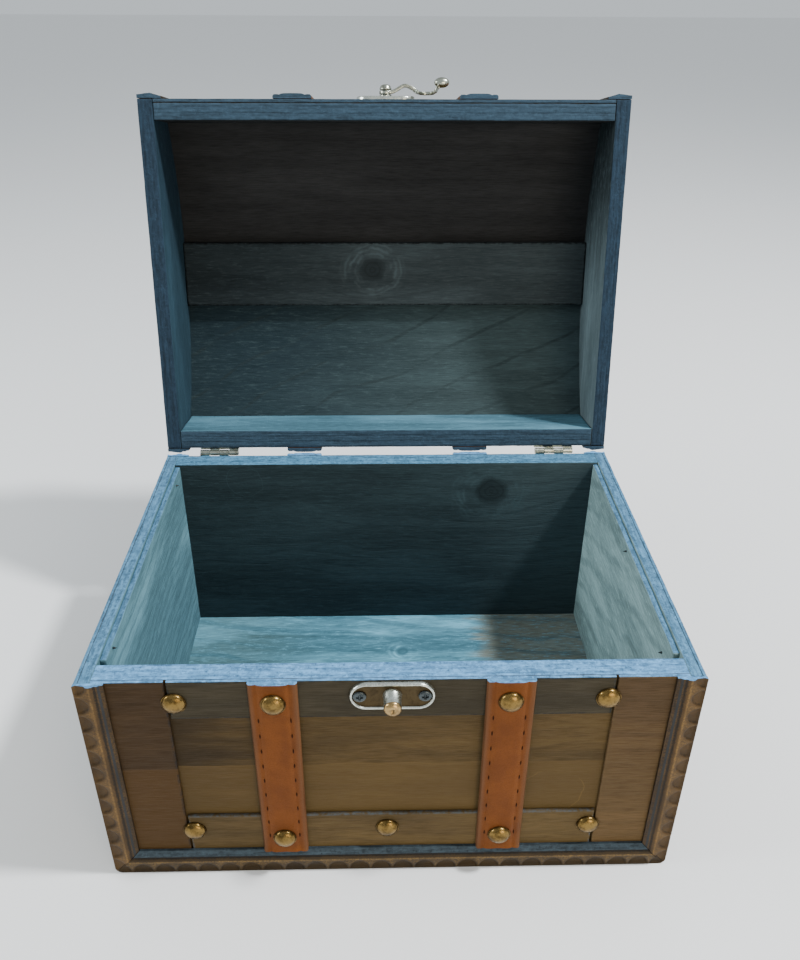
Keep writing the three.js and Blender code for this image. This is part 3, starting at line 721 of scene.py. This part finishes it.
BASE_BOARDS = {
    "front_board": ("panel", {"+Y": "back_wall", "+Z": "rim"}),
    "back_board": ("panel", {"-Y": "back_wall", "+Z": "back_rim"}),
    "floor_panel": ("floor", {"-Z": "side"}),
    "left_side_board": ("side", {"+X": "left_lining", "+Z": "side_rim"}),
    "right_side_board": ("side", {"-X": "right_lining", "+Z": "side_rim"}),
    "left_lining": ("left_lining", {"+Z": "side_rim"}),
    "right_lining": ("right_lining", {"+Z": "side_rim"}),
    "front_strip_top": ("dark_strip", {"+Z": "rim"}),
    "front_strip_bottom": ("strip", {}),
    "front_strip_left": ("dark_upright", {"+Z": "rim"}),
    "front_strip_right": ("upright", {"+Z": "rim"}),
    "left_strip_top": ("side_strip", {"+Z": "side_rim"}),
    "left_strip_bottom": ("side_strip", {}),
    "right_strip_top": ("side_strip", {"+Z": "side_rim"}),
    "right_strip_bottom": ("side_strip", {}),
}
LID_BOARDS = {
    "lid_front_rail": ("lid_face", {"+Y": "lid_upper", "-Z": "lid_rim"}),
    "lid_back_rail": ("lid_face", {"-Y": "lid_rail", "-Z": "lid_rim"}),
    "lid_front_strip": ("lid_face", {"-Z": "lid_rim"}),
    "lid_left_end": ("lid_side", {"+X": "lid_left", "-Z": "lid_side_rim"}),
    "lid_right_end": ("lid_side", {"-X": "lid_right", "-Z": "lid_side_rim"}),
    "lid_batten": ("batten", {}),
}


def build_boards():
    for node, (main, sides) in {**BASE_BOARDS, **LID_BOARDS}.items():
        build_board(node, main, sides)


# ---- The dome ----


def dome_circle():
    """Centre height and outer radius of the dome, from its crown and the foot of its outer face."""
    half = -shut_box("lid_panel_front")[0].y
    outer_foot = max(
        (SHUT @ v.co).z for v in frame["nodes"]["lid_panel_front"].data.vertices
        if abs((SHUT @ v.co).y + half) < 0.05 * MM
    )
    rise = DOME_TOP_Z - outer_foot
    radius = (half ** 2 + rise ** 2) / (2 * rise)
    return DOME_TOP_Z - radius, radius


DOME_CENTRE_Z, DOME_RADIUS = dome_circle()
DOME_STEPS = 44


def on_dome(radius, y):
    return Vector((0, y, DOME_CENTRE_Z + math.sqrt(radius ** 2 - y ** 2)))


def build_dome_panel(node, inside):
    low, high = shut_box(node)
    levels = [low.y + (high.y - low.y) * i / DOME_STEPS for i in range(DOME_STEPS + 1)]
    outline = [on_dome(DOME_RADIUS, y) for y in levels]
    outline += [on_dome(DOME_RADIUS - PANEL_THICKNESS, y) for y in reversed(levels)]
    bm = bmesh.new()
    near = [bm.verts.new(point + X * low.x) for point in outline]
    far = [bm.verts.new(point + X * high.x) for point in outline]
    bm.faces.new(near)
    bm.faces.new(list(reversed(far)))
    bridge(bm, near, far)
    bmesh.ops.recalc_face_normals(bm, faces=bm.faces)
    ease_edges(bm, BOARD_EASE)
    cut_into_cells(bm, BOARD_CELL)
    for face in bm.faces:
        middle = face.calc_center_median()
        from_centre = math.hypot(middle.y, middle.z - DOME_CENTRE_Z)
        face.material_index = 1 if from_centre < DOME_RADIUS - PANEL_THICKNESS * 0.9 else 0
    roughen(bm, FACE_UNEVENNESS, EDGE_UNEVENNESS)
    make_node_piece(bm, node, "wood", ["dome", inside])


# ---- Bands: mouldings and straps ----


def build_band(node, ending, rows, finishes, ends, pick=lambda column: 0, sharp_degrees=48):
    """A closed band from rows of points across it. Each row starts and ends on its underside.

    pick gives the finish of each column, and ends gives that of the two cut ends.
    """
    bm = bmesh.new()
    wear = bm.verts.layers.float.new("wear")
    made = [[bm.verts.new(point) for point, _ in row] for row in rows]
    for row, verts in zip(rows, made):
        for (_, amount), vertex in zip(row, verts):
            vertex[wear] = amount
    for first, second in zip(made, made[1:]):
        for column, face in enumerate(bridge(bm, first, second)):
            face.material_index = pick(column)
    for verts, end in zip((made[0], list(reversed(made[-1]))), ends):
        cap = bm.faces.new(verts)
        cap.material_index = end
    make_node_piece(bm, node, ending, finishes, sharp_degrees)


GOUGE_PITCH = 9.0 * MM
GOUGE_HALF = 4.3 * MM
GOUGE_DEPTH = 0.8 * MM
BEAD = (0.5, 0.6)
BEAD_ROUND = 0.12 * MM
BEVEL_START = 0.74
BEVEL_GROOVE = 0.45 * MM


def smooth_step(value):
    value = min(1.0, max(0.0, value))
    return value * value * (3 - 2 * value)


def moulding_height(along, across, width):
    """Height of the carved moulding, and how rubbed it is, with painted shade in the gouges, round them
    and in the groove, and a painted highlight on the bead. across is 0 at the outer edge.
    """
    share = across / width
    if share > BEAD[1]:
        groove = math.exp(-((share - BEVEL_START + 0.03) / 0.045) ** 2)
        fall = smooth_step((share - BEAD[1]) / (1 - BEAD[1]))
        return PROUD * (0.94 - 0.5 * fall) - BEVEL_GROOVE * groove, 0.4 * (1 - groove) * (1 - 0.5 * fall)
    if share > BEAD[0]:
        crown = math.sin(math.pi * (share - BEAD[0]) / (BEAD[1] - BEAD[0]))
        return PROUD - BEAD_ROUND + BEAD_ROUND * crown, 0.55 + 0.35 * crown
    ridge = PROUD * (0.7 + 0.25 * smooth_step(share / BEAD[0]))
    step = (along / GOUGE_PITCH) % 1.0 - 0.5
    distance = math.hypot(step * GOUGE_PITCH / GOUGE_HALF, share / (BEAD[0] - 0.02))
    bite = smooth_step((1 - distance) / 0.22)
    depth = GOUGE_DEPTH * bite * min(1.0, across / (1.0 * MM))
    # A dark ring round each gouge: painted shade for the shadow of its edge.
    wall = math.exp(-((0.9 - distance) / 0.1) ** 2)
    return ridge - depth, max(0.0, 0.72 - 0.34 * bite - 0.3 * wall)


ACROSS_STEPS = 26
ALONG_STEP = 0.45 * MM


def moulding_rows(width, start_of, end_of, place):
    """Rows along a moulding whose ends may be cut on the slant. place(along, across, height)."""
    shares = [i / ACROSS_STEPS for i in range(ACROSS_STEPS + 1)]
    length = end_of(width) - start_of(width)
    count = max(2, round(length / ALONG_STEP))
    rows = []
    for index in range(count + 1):
        row = []
        for share in shares:
            across = share * width
            start, end = start_of(across), end_of(across)
            along = start + (end - start) * index / count
            height, rubbed = moulding_height(along, across, width)
            row.append((place(along, across, height), rubbed))
            if share == 0:
                row.insert(0, (place(along, across, 0), 0.0))
            if share == 1:
                row.append((place(along, across, 0), 0.0))
        rows.append(row)
    return rows


MOULDING_WIDTH = HALF_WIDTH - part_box("corner_moulding_front_right")[0].x
BOTTOM_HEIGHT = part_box("bottom_moulding_front")[1].z
FOOT_RADIUS = 3 * MM
MOULDING_SHARPNESS = 60
BEVEL_COLUMNS = range(round(ACROSS_STEPS * 0.8) + 1, round(ACROSS_STEPS * 0.88) + 1)
LEDGE_COLUMN = round(ACROSS_STEPS * BEVEL_START) + 1


def moulding_finish(column):
    """A grey line runs down the inner bevel as a painted highlight, and the rest is golden brown."""
    return 1 if column in BEVEL_COLUMNS else 0


def ledge_finish(column):
    """The bevel on top of the bottom moulding is painted."""
    return 1 if column >= LEDGE_COLUMN else 0


def round_foot(x, z):
    """Draws the square lower corners of the mouldings in to a round one."""
    across = abs(x) - (HALF_WIDTH - FOOT_RADIUS)
    down = FOOT_RADIUS - z
    if across <= 0 or down <= 0:
        return x, z
    share = max(across, down) / math.hypot(across, down)
    return math.copysign(HALF_WIDTH - FOOT_RADIUS + across * share, x), FOOT_RADIUS - down * share


MITRE_GAP = 0.15 * MM


def build_base_mouldings():
    slant = BOTTOM_HEIGHT / MOULDING_WIDTH
    for face, outward in (("front", -1), ("back", 1)):
        def at(x, z, height):
            x, z = round_foot(x, z)
            return Vector((x, outward * (FACE_Y + height), z))

        for side, hand in HANDS.items():
            node = f"corner_moulding_{face}_{side}"
            rows = moulding_rows(
                MOULDING_WIDTH,
                lambda across: across * slant + MITRE_GAP,
                lambda across: RIM_Z,
                lambda along, across, height: at(hand * (HALF_WIDTH - across), along, height),
            )
            build_band(node, "carved", rows, ["moulding", "bevel", "rim"], (0, 2), moulding_finish,
                       MOULDING_SHARPNESS)
        node = f"bottom_moulding_{face}"
        rows = moulding_rows(
            BOTTOM_HEIGHT,
            lambda across: -HALF_WIDTH + across / slant + MITRE_GAP,
            lambda across: HALF_WIDTH - across / slant - MITRE_GAP,
            at,
        )
        build_band(node, "carved", rows, ["foot", "ledge"], (0, 0), ledge_finish, MOULDING_SHARPNESS)


BAND_GAP = 0.25 * MM
WALL_STEP = 1.5 * MM
ARC_STEPS = 70
WALL_STEPS = round((on_dome(DOME_RADIUS + BAND_GAP, FACE_Y + BAND_GAP).z - LID_Z) / WALL_STEP)


def lid_path(offset):
    """Points at a distance from the wood, from the front rim of the lid over the dome to the back one."""
    y = FACE_Y + offset
    radius = DOME_RADIUS + offset
    foot = on_dome(radius, y).z
    wall = [LID_Z + (foot - LID_Z) * i / WALL_STEPS for i in range(WALL_STEPS)]
    half_angle = math.asin(y / radius)
    turns = [half_angle * (2 * i / ARC_STEPS - 1) for i in range(ARC_STEPS + 1)]
    path = [Vector((0, -y, z)) for z in wall]
    path += [Vector((0, radius * math.sin(turn), DOME_CENTRE_Z + radius * math.cos(turn))) for turn in turns]
    return path + [Vector((0, y, z)) for z in reversed(wall)]


class Route:
    """A path over the lid by arc length, for laying bands on it."""

    def __init__(self):
        self.under = lid_path(BAND_GAP)
        self.over = lid_path(PROUD)
        self.reach = [0.0]
        for a, b in zip(self.over, self.over[1:]):
            self.reach.append(self.reach[-1] + (b - a).length)
        self.length = self.reach[-1]

    def at(self, along, x, height):
        along = min(max(along, 0.0), self.length)
        index = next(i for i in range(len(self.reach) - 1) if along <= self.reach[i + 1] + 1e-9)
        span = self.reach[index + 1] - self.reach[index]
        share = (along - self.reach[index]) / span
        low = self.under[index].lerp(self.under[index + 1], share)
        high = self.over[index].lerp(self.over[index + 1], share)
        point = low.lerp(high, height / PROUD)
        return Vector((x, point.y, point.z))


ROUTE = Route()


def build_lid_mouldings():
    for side, hand in HANDS.items():
        node = f"lid_moulding_{side}"
        rows = moulding_rows(
            MOULDING_WIDTH,
            lambda across: 0.0,
            lambda across: ROUTE.length,
            lambda along, across, height: ROUTE.at(along, hand * (HALF_WIDTH - across), height),
        )
        build_band(node, "carved", rows, ["lid_moulding", "lid_bevel", "lid_rim"], (2, 2), moulding_finish,
                   MOULDING_SHARPNESS)


# ---- Straps ----

STRAP_HALF = (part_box("strap_front_right")[1].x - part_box("strap_front_right")[0].x) / 2
STRAP_EDGE_HEIGHT = 1.9 * MM
STRAP_EDGE_ROUNDING = 0.5 * MM
STRAP_PAD = 0.3 * MM
STRAP_PAD_RISE = 2.2 * MM
STRAP_CROWN = 0.25 * MM
STRAP_STEP = 1.2 * MM
STRAP_CURL = 0.9 * MM
STRAP_CURL_LENGTH = 4 * MM
GROOVE_DEPTH = 0.28 * MM
GROOVE_HALF = 0.5 * MM
STITCH_INSET = 3.0 * MM
STITCH_START = 8 * MM
STITCH_FREE_ENDS = 12 * MM
STITCH_PITCH = 8.0 * MM
STITCH_LENGTH = 2.2 * MM
STITCH_RADIUS = 0.33 * MM
STITCH_SIDES = 6
STRAP_CELLS = 30


def strap_height(offset):
    """Height of the leather at a distance from the strap's middle, and how rubbed it is there."""
    from_edge = STRAP_HALF - abs(offset)
    rounding = min(1.0, from_edge / STRAP_EDGE_ROUNDING)
    edge = STRAP_EDGE_HEIGHT * (0.6 + 0.4 * math.sqrt(max(0.0, rounding)))
    pad = STRAP_PAD * smooth_step((from_edge - STITCH_INSET) / STRAP_PAD_RISE)
    crown = pad + STRAP_CROWN * math.cos(offset / STRAP_HALF * math.pi / 2)
    groove = GROOVE_DEPTH * math.exp(-((from_edge - STITCH_INSET) / GROOVE_HALF) ** 2)
    return min(PROUD, edge + crown - groove), 1.0 - smooth_step((from_edge - 0.5 * MM) / (2.0 * MM))


def strap_rows(length, place, curl=0.0):
    """curl lifts the end at the start of the strap off the wood."""
    count = max(2, round(length / STRAP_STEP))
    rows = []
    for index in range(count + 1):
        along = length * index / count
        flare = curl * max(0.0, 1 - along / STRAP_CURL_LENGTH) ** 2
        row = [(place(along, -STRAP_HALF, 0), 1.0)]
        for cell in range(STRAP_CELLS + 1):
            offset = STRAP_HALF * (2 * cell / STRAP_CELLS - 1)
            height, rubbed = strap_height(offset)
            lift = flare * (0.35 + 0.65 * abs(offset) / STRAP_HALF)
            row.append((place(along, offset, height + lift), rubbed))
        row.append((place(along, STRAP_HALF, 0), 1.0))
        rows.append(row)
    return rows


def build_stitches(name, length, place, body):
    """Short dark stitches in both grooves, as one piece."""
    bm = bmesh.new()
    for hand in (-1, 1):
        offset = hand * (STRAP_HALF - STITCH_INSET)
        base = strap_height(offset)[0] + 0.05 * MM
        for index in range(int((length - STITCH_FREE_ENDS) / STITCH_PITCH)):
            start = STITCH_START + index * STITCH_PITCH
            rings = []
            for share in (0, 0.25, 0.5, 0.75, 1):
                along = start + STITCH_LENGTH * share
                radius = STITCH_RADIUS * math.sin(math.pi * (0.12 + 0.76 * share))
                turns = [2 * math.pi * corner / STITCH_SIDES for corner in range(STITCH_SIDES)]
                spots = [(radius * math.cos(turn), radius * math.sin(turn)) for turn in turns]
                rings.append([bm.verts.new(place(along, offset + x, base + z)) for x, z in spots])
            for first, second in zip(rings, rings[1:]):
                bridge(bm, first, second)
            bm.faces.new(rings[0])
            bm.faces.new(list(reversed(rings[-1])))
    make_piece(bm, name, ["thread"], body, "leather", sharp_degrees=80)


def build_straps():
    for side in HANDS:
        for face, outward in (("front", -1), ("back", 1)):
            node = f"strap_{face}_{side}"
            low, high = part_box(node)
            centre = (low.x + high.x) / 2

            def place(along, offset, height):
                return Vector((centre + offset, outward * (FACE_Y + height), low.z + along))

            length = high.z - low.z
            build_band(node, "leather", strap_rows(length, place, STRAP_CURL), ["leather", "rim"], (0, 1))
            build_stitches(f"{node}_stitching", length, place, BASE)
        node = f"lid_strap_{side}"
        low, high = shut_box(node)
        centre = (low.x + high.x) / 2

        def over(along, offset, height):
            return ROUTE.at(along, centre + offset, height)

        build_band(node, "leather", strap_rows(ROUTE.length, over), ["leather", "lid_rim"], (1, 1))
        build_stitches(f"{node}_stitching", ROUTE.length, over, LID)


# ---- Turned pieces: tacks, screws, peg, rivet ----


def lathe(bm, profile, centre, outward, up, segments=40):
    """Turns a profile of (radius, height) about an axis that stands out of a face."""
    side = up.cross(outward)
    rings = []
    for radius, height in profile:
        if radius <= 0:
            rings.append([bm.verts.new(centre + outward * height)])
            continue
        ring = []
        for i in range(segments):
            turn = 2 * math.pi * i / segments
            spoke = side * math.cos(turn) + up * math.sin(turn)
            ring.append(bm.verts.new(centre + outward * height + spoke * radius))
        rings.append(ring)
    for first, second in zip(rings, rings[1:]):
        bridge(bm, first, second)


def quarter_round(radius, low, high, steps, power=1.0):
    """A profile from (radius, low) up to (0, high)."""
    turns = [math.pi / 2 * i / steps for i in range(steps)]
    arc = [(radius * math.cos(turn), low + (high - low) * math.sin(turn) ** power) for turn in turns]
    return arc + [(0, high)]


def face_centre(low, high):
    """The middle of a box's +Y side, which is where a piece of the front lies on its board."""
    return Vector(((low.x + high.x) / 2, high.y, (low.z + high.z) / 2))


TACK_RADIUS = (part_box("tack_top_right")[1].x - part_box("tack_top_right")[0].x) / 2
TACK_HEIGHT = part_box("tack_top_right")[1].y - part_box("tack_top_right")[0].y
TACK_EDGE = 0.5 * MM
TACK_DENTS = 0.05 * MM
SIDE_TACKS = {"front": -60 * MM, "middle": 0.0, "back": 60 * MM}
SIDE_TACK_HEIGHTS = {"top": 95 * MM, "bottom": 22 * MM}
BACK_TACK_HEIGHTS = {"top": 88 * MM, "bottom": 22 * MM}
LID_TACKS = {"front": 0.17, "back": 0.83}


def tack_profile():
    """A domed head with a thin rolled edge."""
    edge = [(TACK_RADIUS - 0.15 * MM, 0), (TACK_RADIUS, TACK_EDGE / 2), (TACK_RADIUS - 0.12 * MM, TACK_EDGE)]
    return [(0, 0)] + edge + quarter_round(TACK_RADIUS - 0.3 * MM, TACK_EDGE, TACK_HEIGHT, 9, 1.15)


def build_tack(name, centre, outward, up, body, *nodes):
    bm = bmesh.new()
    lathe(bm, tack_profile(), centre, outward, up, 32)
    for vertex in bm.verts:
        vertex.co += noise.noise_vector(vertex.co / (2.5 * MM)) * TACK_DENTS
    # The faces low on the head take the dark rim brass: partly patina and partly painted shade.
    for face in bm.faces:
        if (face.calc_center_median() - centre).dot(outward) < TACK_EDGE:
            face.material_index = 1
    make_piece(bm, name, ["brass", "brass_rim"], body, "brass", *nodes, sharp_degrees=60)


def build_tacks():
    for node, slot in SLOT_OF.items():
        if slot == "brass":
            build_tack(f"{node}_head", face_centre(*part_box(node)), -Y, Z, BASE, node)
    for side, hand in HANDS.items():
        for along, y in SIDE_TACKS.items():
            for level, z in SIDE_TACK_HEIGHTS.items():
                centre = Vector((hand * HALF_WIDTH, y, z))
                build_tack(f"side_tack_{side}_{along}_{level}", centre, X * hand, Z, BASE)
        on_strap = face_centre(*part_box(f"strap_back_{side}"))
        for level, z in BACK_TACK_HEIGHTS.items():
            build_tack(f"back_tack_{side}_{level}", Vector((on_strap.x, on_strap.y, z)), Y, Z, BASE)
        x = face_centre(*shut_box(f"lid_strap_{side}")).x
        for end, share in LID_TACKS.items():
            along = ROUTE.length * share
            ahead = (ROUTE.at(along + MM, x, PROUD) - ROUTE.at(along - MM, x, PROUD)).normalized()
            centre = ROUTE.at(along, x, PROUD * 0.97)
            build_tack(f"lid_tack_{side}_{end}", centre, X.cross(ahead).normalized(), ahead, LID)


SCREW_RINGS = 16
SCREW_SPOKES = 64
SCREW_EDGE = 0.25 * MM
CROSS_ARM = 1.45 * MM
CROSS_HALF_WIDTH = 0.42 * MM
CROSS_DEPTH = 0.7 * MM


def cross_recess(x, z):
    """Depth share of a cross-shaped screwdriver recess."""
    depth = 0.0
    for a, b in ((abs(x), abs(z)), (abs(z), abs(x))):
        if a < CROSS_ARM and b < CROSS_HALF_WIDTH:
            end = min(1.0, (CROSS_ARM - a) / (0.6 * MM))
            wall = min(1.0, (CROSS_HALF_WIDTH - b) / (0.2 * MM))
            depth = max(depth, end * wall)
    return depth


def build_screw(node):
    """A domed head, ring by ring from the middle of its recess out and down to its foot."""
    low, high = shut_box(node)
    centre = face_centre(low, high)
    tall = high.y - low.y
    bm = bmesh.new()
    rings = [[bm.verts.new(centre - Y * (tall - CROSS_DEPTH))]]
    for number in range(1, SCREW_RINGS + 1):
        share = number / SCREW_RINGS
        radius = share * (high.x - low.x) / 2
        dome = SCREW_EDGE + (tall - SCREW_EDGE) * math.sqrt(max(0.0, 1 - share ** 2.4))
        ring = []
        for i in range(SCREW_SPOKES):
            turn = 2 * math.pi * i / SCREW_SPOKES
            x, z = radius * math.cos(turn), radius * math.sin(turn)
            height = dome - CROSS_DEPTH * cross_recess(x, z)
            ring.append(bm.verts.new(centre + Vector((x, -height, z))))
        rings.append(ring)
    rings.append([bm.verts.new((v.co.x, centre.y, v.co.z)) for v in rings[-1]])
    for first, second in zip(rings, rings[1:]):
        bridge(bm, first, second)
    bm.faces.new(rings[-1])
    make_node_piece(bm, node, "head", ["dark_steel"], 50)


# ---- Latch plates, peg, rivet and arm ----


def stadium_point(turn_share, half_length, radius, inset):
    """A point on a stadium's edge, drawn in by inset. turn_share runs once round it."""
    reach = half_length - radius
    turn = 2 * math.pi * turn_share
    small = max(0.0, radius - inset)
    shift = reach if math.cos(turn) >= 0 else -reach
    return shift + small * math.cos(turn), small * math.sin(turn)


PLATE_POINTS = 96
RECESS_RING = 5
# How far in from the edge and how high each ring of a plate's rim lies, in millimetres.
RIM_SECTION = ((0, 0), (0, 1.1), (0.12, 1.5), (0.45, 1.72), (0.85, 1.6), (1.1, 1.2), (1.25, 0.95), (2.2, 0.9))


def build_plate(node):
    """A pressed plate with round ends, a rolled rim and a recess."""
    low, high = shut_box(node)
    centre = face_centre(low, high)
    half_length = (high.x - low.x) / 2
    radius = (high.z - low.z) / 2
    shares = [(i + 0.5) / PLATE_POINTS for i in range(PLATE_POINTS)]
    bm = bmesh.new()
    rings = []
    for inset, height in RIM_SECTION:
        spots = [stadium_point(share, half_length, radius, inset * MM) for share in shares]
        rings.append([bm.verts.new(centre + Vector((x, -height * MM, z))) for x, z in spots])
    bm.faces.new(rings[0])
    for number, (first, second) in enumerate(zip(rings, rings[1:])):
        for face in bridge(bm, first, second):
            face.material_index = 1 if number >= RECESS_RING else 0
    bm.faces.new(list(reversed(rings[-1]))).material_index = 1
    make_node_piece(bm, node, "pressed", ["nickel_with_painted_sheen", "recess"], 40)


PEG_RADIUS = 3.3 * MM
PEG_COLLAR = 1.08 * PEG_RADIUS
PEG_TIP = 1.7 * MM
PEG_DIMPLE = 0.9 * MM


def peg_profile(reach):
    """A collar, a straight neck, a rounded end and the dimple in it."""
    foot = [(0, 0.5 * MM), (PEG_COLLAR, 0.5 * MM), (PEG_COLLAR, 1.1 * MM), (PEG_RADIUS, 1.4 * MM)]
    rounded = quarter_round(PEG_RADIUS - PEG_DIMPLE, reach - PEG_TIP, reach, 8)[:-1]
    dimple = [(0.75 * MM, reach - 0.15 * MM), (0.35 * MM, reach - 0.8 * MM), (0, reach - PEG_DIMPLE)]
    return foot + [(PEG_DIMPLE + x, z) for x, z in rounded] + dimple


def build_peg():
    low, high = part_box("keeper_plate")
    centre = face_centre(low, high)
    reach = high.y - low.y
    bm = bmesh.new()
    lathe(bm, peg_profile(reach), centre, -Y, Z)
    for face in bm.faces:
        if centre.y - face.calc_center_median().y > reach - PEG_TIP:
            face.material_index = 1
    make_piece(bm, "keeper_peg_turned", ["nickel_with_painted_sheen", "peg_tip"], BASE, "nickel", sharp_degrees=50)


# The arm and the rivet are remeshed at these cell sizes, so that their edges can be softened.
SKIN_CELLS = {"latch_arm": 0.22 * MM, "latch_rivet": 0.2 * MM}


def build_latch():
    for node, cell in SKIN_CELLS.items():
        piece = to_object(node_mesh(node), f"{node}_cast", ["nickel"], 60)
        remesh = piece.modifiers.new("skin", "REMESH")
        remesh.mode = "VOXEL"
        remesh.voxel_size = cell
        smooth = piece.modifiers.new("soften", "SMOOTH")
        smooth.factor = 0.5
        smooth.iterations = 6
        apply_modifiers(piece)
        settle(piece, BODY_OF[node], SLOT_OF[node], node)


def apply_modifiers(piece):
    """Replaces a piece's mesh with what its modifiers make of it."""
    graph = bpy.context.evaluated_depsgraph_get()
    finished = bpy.data.meshes.new_from_object(piece.evaluated_get(graph))
    finished.shade_smooth()
    piece.modifiers.clear()
    old = piece.data
    piece.data = finished
    bpy.data.meshes.remove(old)


# ---- Hinges ----


def finish_hinges():
    """The hinge leaves and pins keep their shape, with softened edges."""
    for node in frame["nodes"]:
        if node.startswith("hinge_"):
            piece = frame["nodes"][node]
            piece.data.materials.clear()
            piece.data.materials.append(MATERIALS["nickel"])
            bevel = piece.modifiers.new("eased", "BEVEL")
            bevel.width = 0.12 * MM
            bevel.segments = 2
            bevel.limit_method = "ANGLE"
            bevel.angle_limit = math.radians(40)


HINGE_LEAF_THICKNESS = 0.8 * MM
HINGE_NAIL_INSET = 4 * MM
HINGE_NAIL_SPREAD = 5.5 * MM
NAIL_HEAD_RADIUS = 1.4 * MM
NAIL_HEAD_HEIGHT = 0.8 * MM


def build_hinge_nails():
    """Two small domed nails in each leaf, near its far edge."""
    flank = NAIL_HEAD_HEIGHT * 0.25
    profile = [(0, 0), (NAIL_HEAD_RADIUS, 0)] + quarter_round(NAIL_HEAD_RADIUS, flank, NAIL_HEAD_HEIGHT, 6)
    for side, outer in HANDS.items():
        for leaf, up in (("base", -1), ("lid", 1)):
            node = f"hinge_{side}_{leaf}_leaf"
            low, high = shut_box(node)
            far_z = high.z if up > 0 else low.z
            for place, hand in (("inner", -outer), ("outer", outer)):
                x = (low.x + high.x) / 2 + hand * HINGE_NAIL_SPREAD
                centre = Vector((x, low.y + HINGE_LEAF_THICKNESS, far_z - up * HINGE_NAIL_INSET))
                bm = bmesh.new()
                lathe(bm, profile, centre, Y, Z, 20)
                make_piece(bm, f"hinge_nail_{side}_{leaf}_{place}", ["nickel"], BODY_OF[node], "nickel",
                           sharp_degrees=60)


# ---- Nail tips inside ----

# Y and Z of each tip, and the radius and height along one, in millimetres.
NAIL_TIPS = {"left": ((62, 99.3), (-62, 101)), "right": ((1, 99.5), (-60, 93.7))}
TIP_PROFILE = ((0, 0), (0.55, 0), (0.5, 0.7), (0.3, 1.5), (0, 2.2))
TIP_SUNK = 0.5


def build_nail_tips():
    """The points of four side nails, which came through the linings."""
    for side, places in NAIL_TIPS.items():
        low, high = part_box(f"{side}_lining")
        inward, face_x = (X, high.x) if side == "left" else (-X, low.x)
        for number, (y, z) in enumerate(places):
            centre = Vector((face_x, y * MM, z * MM)) - inward * TIP_SUNK * MM
            bm = bmesh.new()
            lathe(bm, [(radius * MM, height * MM) for radius, height in TIP_PROFILE], centre, inward, Z, 14)
            make_piece(bm, f"nail_tip_{side}_{number}", ["dark_steel"], BASE, "nickel", sharp_degrees=60)


# ---- Everything ----

build_camera()
build_studio()
build_boards()
build_dome_panel("lid_panel_front", "lid_upper")
build_dome_panel("lid_panel_back", "lid_lower")
build_base_mouldings()
build_lid_mouldings()
build_straps()
build_tacks()
for screw in ("keeper_screw_left", "keeper_screw_right", "latch_screw_left", "latch_screw_right"):
    build_screw(screw)
build_plate("keeper_plate")
build_plate("latch_plate")
build_peg()
build_latch()
finish_hinges()
build_hinge_nails()
build_nail_tips()

bpy.context.view_layer.update()
